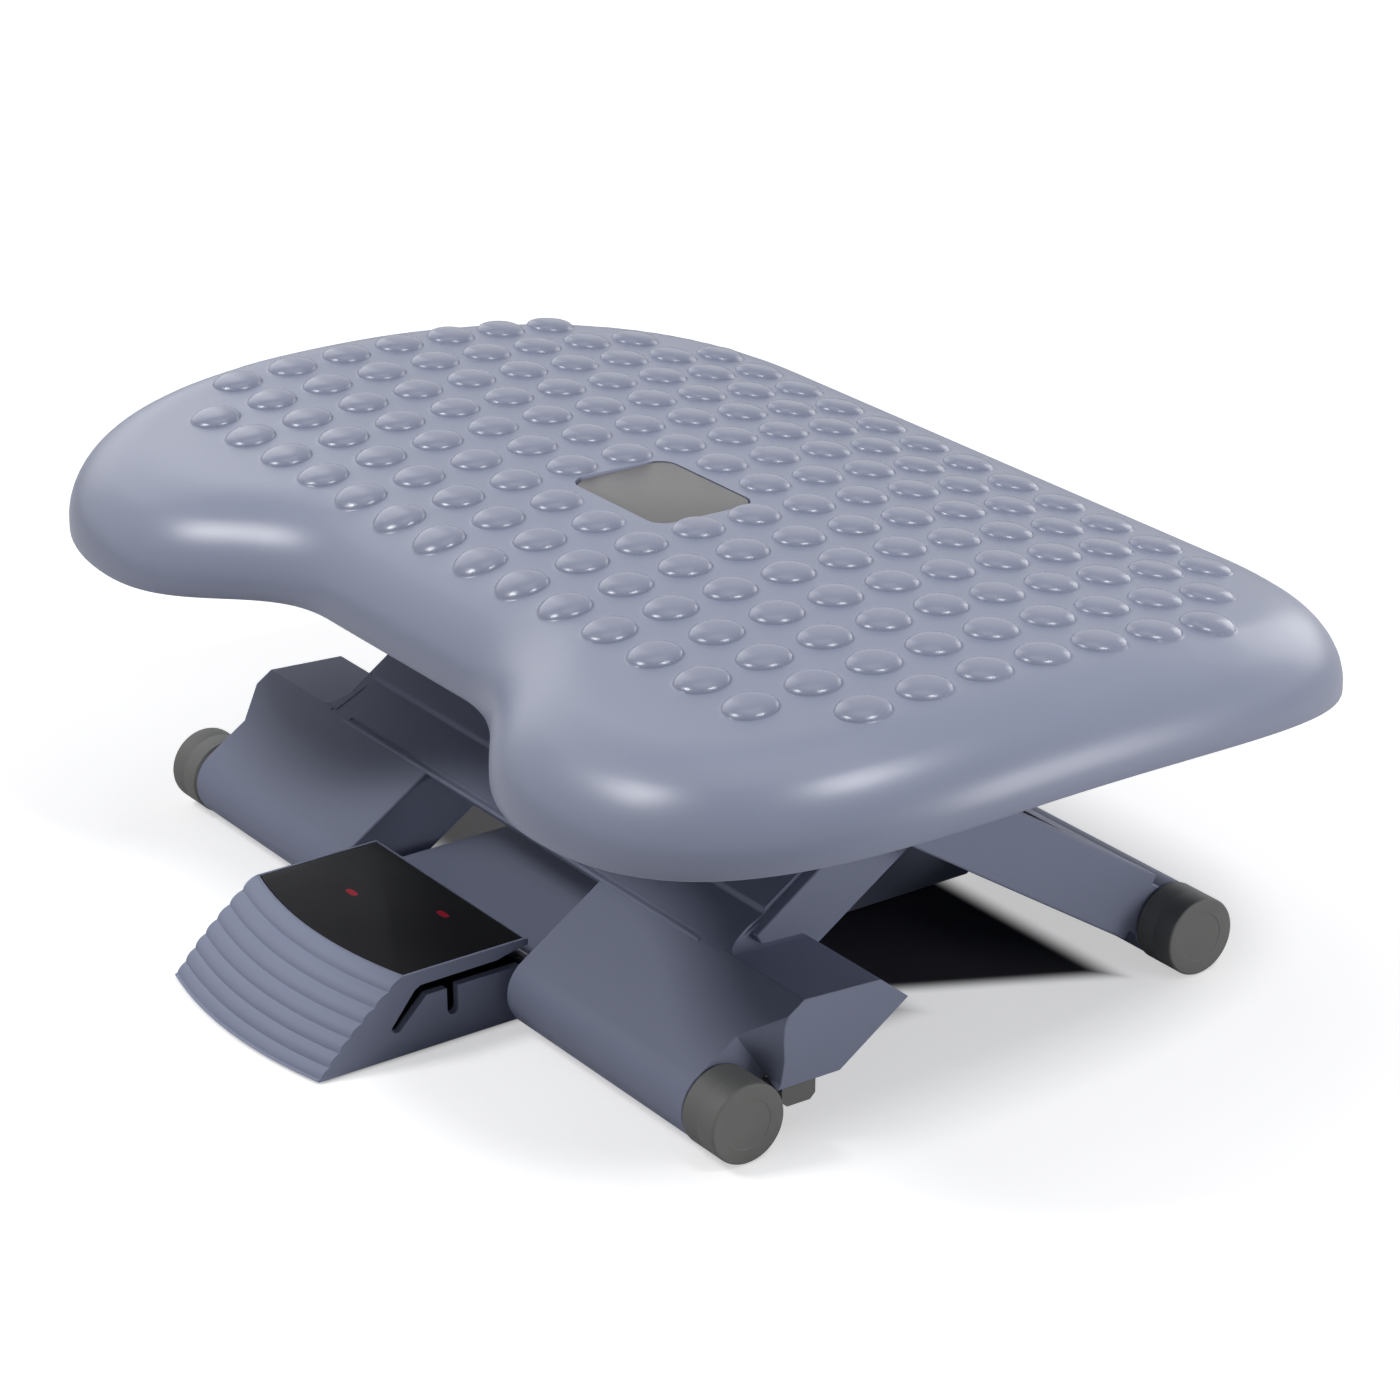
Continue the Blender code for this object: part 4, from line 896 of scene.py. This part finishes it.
def pedal_moulding():
    half = pedal_high.x
    base = pedal_low.z
    outline = pedal_face() + [(rib_back + 0.0008, pedal_top), (pedal_back - 0.0006, pedal_top),
                              (pedal_back, pedal_top - 0.0006), (pedal_back, arm_top)]
    outline += [(rear_foot.y - 0.0045, arm_top), (rear_foot.y - 0.0045, rear_foot.z - 0.0063),
                (rear_foot.y - 0.0144, base)]
    wall = 0.003
    under = [(pedal_low.y + 4 * wall, base - 0.002), (rib_back + wall, pedal_top - 1.3 * wall),
             (pedal_back - wall, pedal_top - 1.3 * wall), (pedal_back - wall, arm_top - wall),
             (rear_foot.y - 0.0144, arm_top - wall), (rear_foot.y - 0.0198, base - 0.002)]
    sections = [(x, [(y + pedal_bowed(x, y, z), z) for y, z in outline])
                for x in (half * (k / 10 - 1) for k in range(21))]
    solids = [loft(sections, 0.0004, 2),
              bar(0.009, -half, half, rear_foot.y, rear_foot.z)]
    cuts = [block(under, wall - half, half - wall),
            bar(pin_hole, -half - drill_past, half + drill_past, rear_foot.y, rear_foot.z),
            block(cam_slot(), -half - drill_past, half + drill_past),
            flat_block(label_plan(0.0003), pedal_top - 0.0012, pedal_top + 0.004)]
    return fused("pedal_moulding", solids, cuts, sharp=28)


pedal_mesh = pedal_moulding()
pedal_mesh.materials.append(plastic)
show("pedal_moulding", pedal_mesh, "pedal", "moulded_plastic", "pedal_bar")


# The pedal label: a matt black plate in a shallow seat, with two small plain red marks.
# The marks are printed, so they lie flush in its face.
def label_finish():
    made, shader = new_material("pedal_label")
    here = Wire(shader.outputs[0])
    place = here.node("ShaderNodeTexCoord", output=3)
    fine = here.node("ShaderNodeTexNoise", {}, {"Vector": place, "Scale": 1100.0, "Detail": 2.0})
    broad = here.node("ShaderNodeTexNoise", {}, {"Vector": place, "Scale": 45.0, "Detail": 3.0})
    across = here.node("ShaderNodeSeparateXYZ", {}, {0: place})
    along = Wire(across.socket.node.outputs[1])
    mark = None
    mark_half_x, mark_half_y = 0.0030, 0.0013
    for mark_x, mark_y in ((-0.0165, -0.1116), (0.0158, -0.0957)):
        off_x = here.maths("ABSOLUTE", across - mark_x) * (1 / mark_half_x)
        off_y = here.maths("ABSOLUTE", along - mark_y) * (1 / mark_half_y)
        spot = here.maths("LESS_THAN", here.maths("POWER", off_x, 3.0) + here.maths("POWER", off_y, 3.0), 1.0)
        mark = spot if mark is None else here.maths("MAXIMUM", mark, spot)
    black = broad.mix((0.0045, 0.0045, 0.0055, 1.0), (0.0080, 0.0080, 0.0095, 1.0))
    shader.inputs["Specular IOR Level"].default_value = 0.12
    feed(shader, Base_Color=mark.mix(black, (0.33, 0.012, 0.03, 1.0)),
         Roughness=0.5 + (broad - 0.5) * 0.2,
         Normal=here.node("ShaderNodeBump", {}, {"Strength": 0.15, "Distance": 0.00008, "Height": fine}))
    return made


label_low, label_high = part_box("pedal_label")
label_mesh = slab_mesh("label_plate", label_plan(-0.0001), label_low.z, label_high.z, 0.0003)
label_mesh.materials.append(label_finish())
show("label_plate", label_mesh, "pedal", "matt_label", "pedal_label")


# The works under the platform: zinc-plated rods, pins, clips and screws, black nylon glides and washers,
# and a cradle of the stand's plastic. Their solids have the right shape, so they only take a finish.
def zinc_finish():
    made, shader = new_material("zinc_steel")
    here = Wire(shader.outputs[0])
    place = here.node("ShaderNodeTexCoord", output=3)
    drawn = here.node("ShaderNodeMapping", {}, {"Vector": place, "Scale": (30.0, 900.0, 900.0)})
    line = here.node("ShaderNodeTexNoise", {}, {"Vector": drawn, "Scale": 4.0, "Detail": 3.0})
    cloud = here.node("ShaderNodeTexNoise", {}, {"Vector": place, "Scale": 120.0, "Detail": 3.0})
    shader.inputs["Metallic"].default_value = 1.0
    feed(shader, Base_Color=(line * 0.5 + cloud * 0.5).mix((0.42, 0.43, 0.44, 1.0), (0.60, 0.61, 0.61, 1.0)),
         Roughness=0.26 + line * 0.2)
    return made


def nylon_finish():
    made, shader = new_material("black_nylon")
    here = Wire(shader.outputs[0])
    place = here.node("ShaderNodeTexCoord", output=3)
    cloud = here.node("ShaderNodeTexNoise", {}, {"Vector": place, "Scale": 200.0, "Detail": 3.0})
    feed(shader, Base_Color=cloud.mix((0.020, 0.020, 0.022, 1.0), (0.04, 0.04, 0.045, 1.0)),
         Roughness=0.38 + cloud * 0.15)
    return made


works_finish = {"steel": zinc_finish(), "black_nylon": nylon_finish(), "moulded_plastic": plastic}
for part in frame["record"]["subparts"]:
    node = frame["nodes"][part["node"]]
    if part["material_slot"] in works_finish and not node.hide_render:
        node.data.materials.clear()
        node.data.materials.append(works_finish[part["material_slot"]])
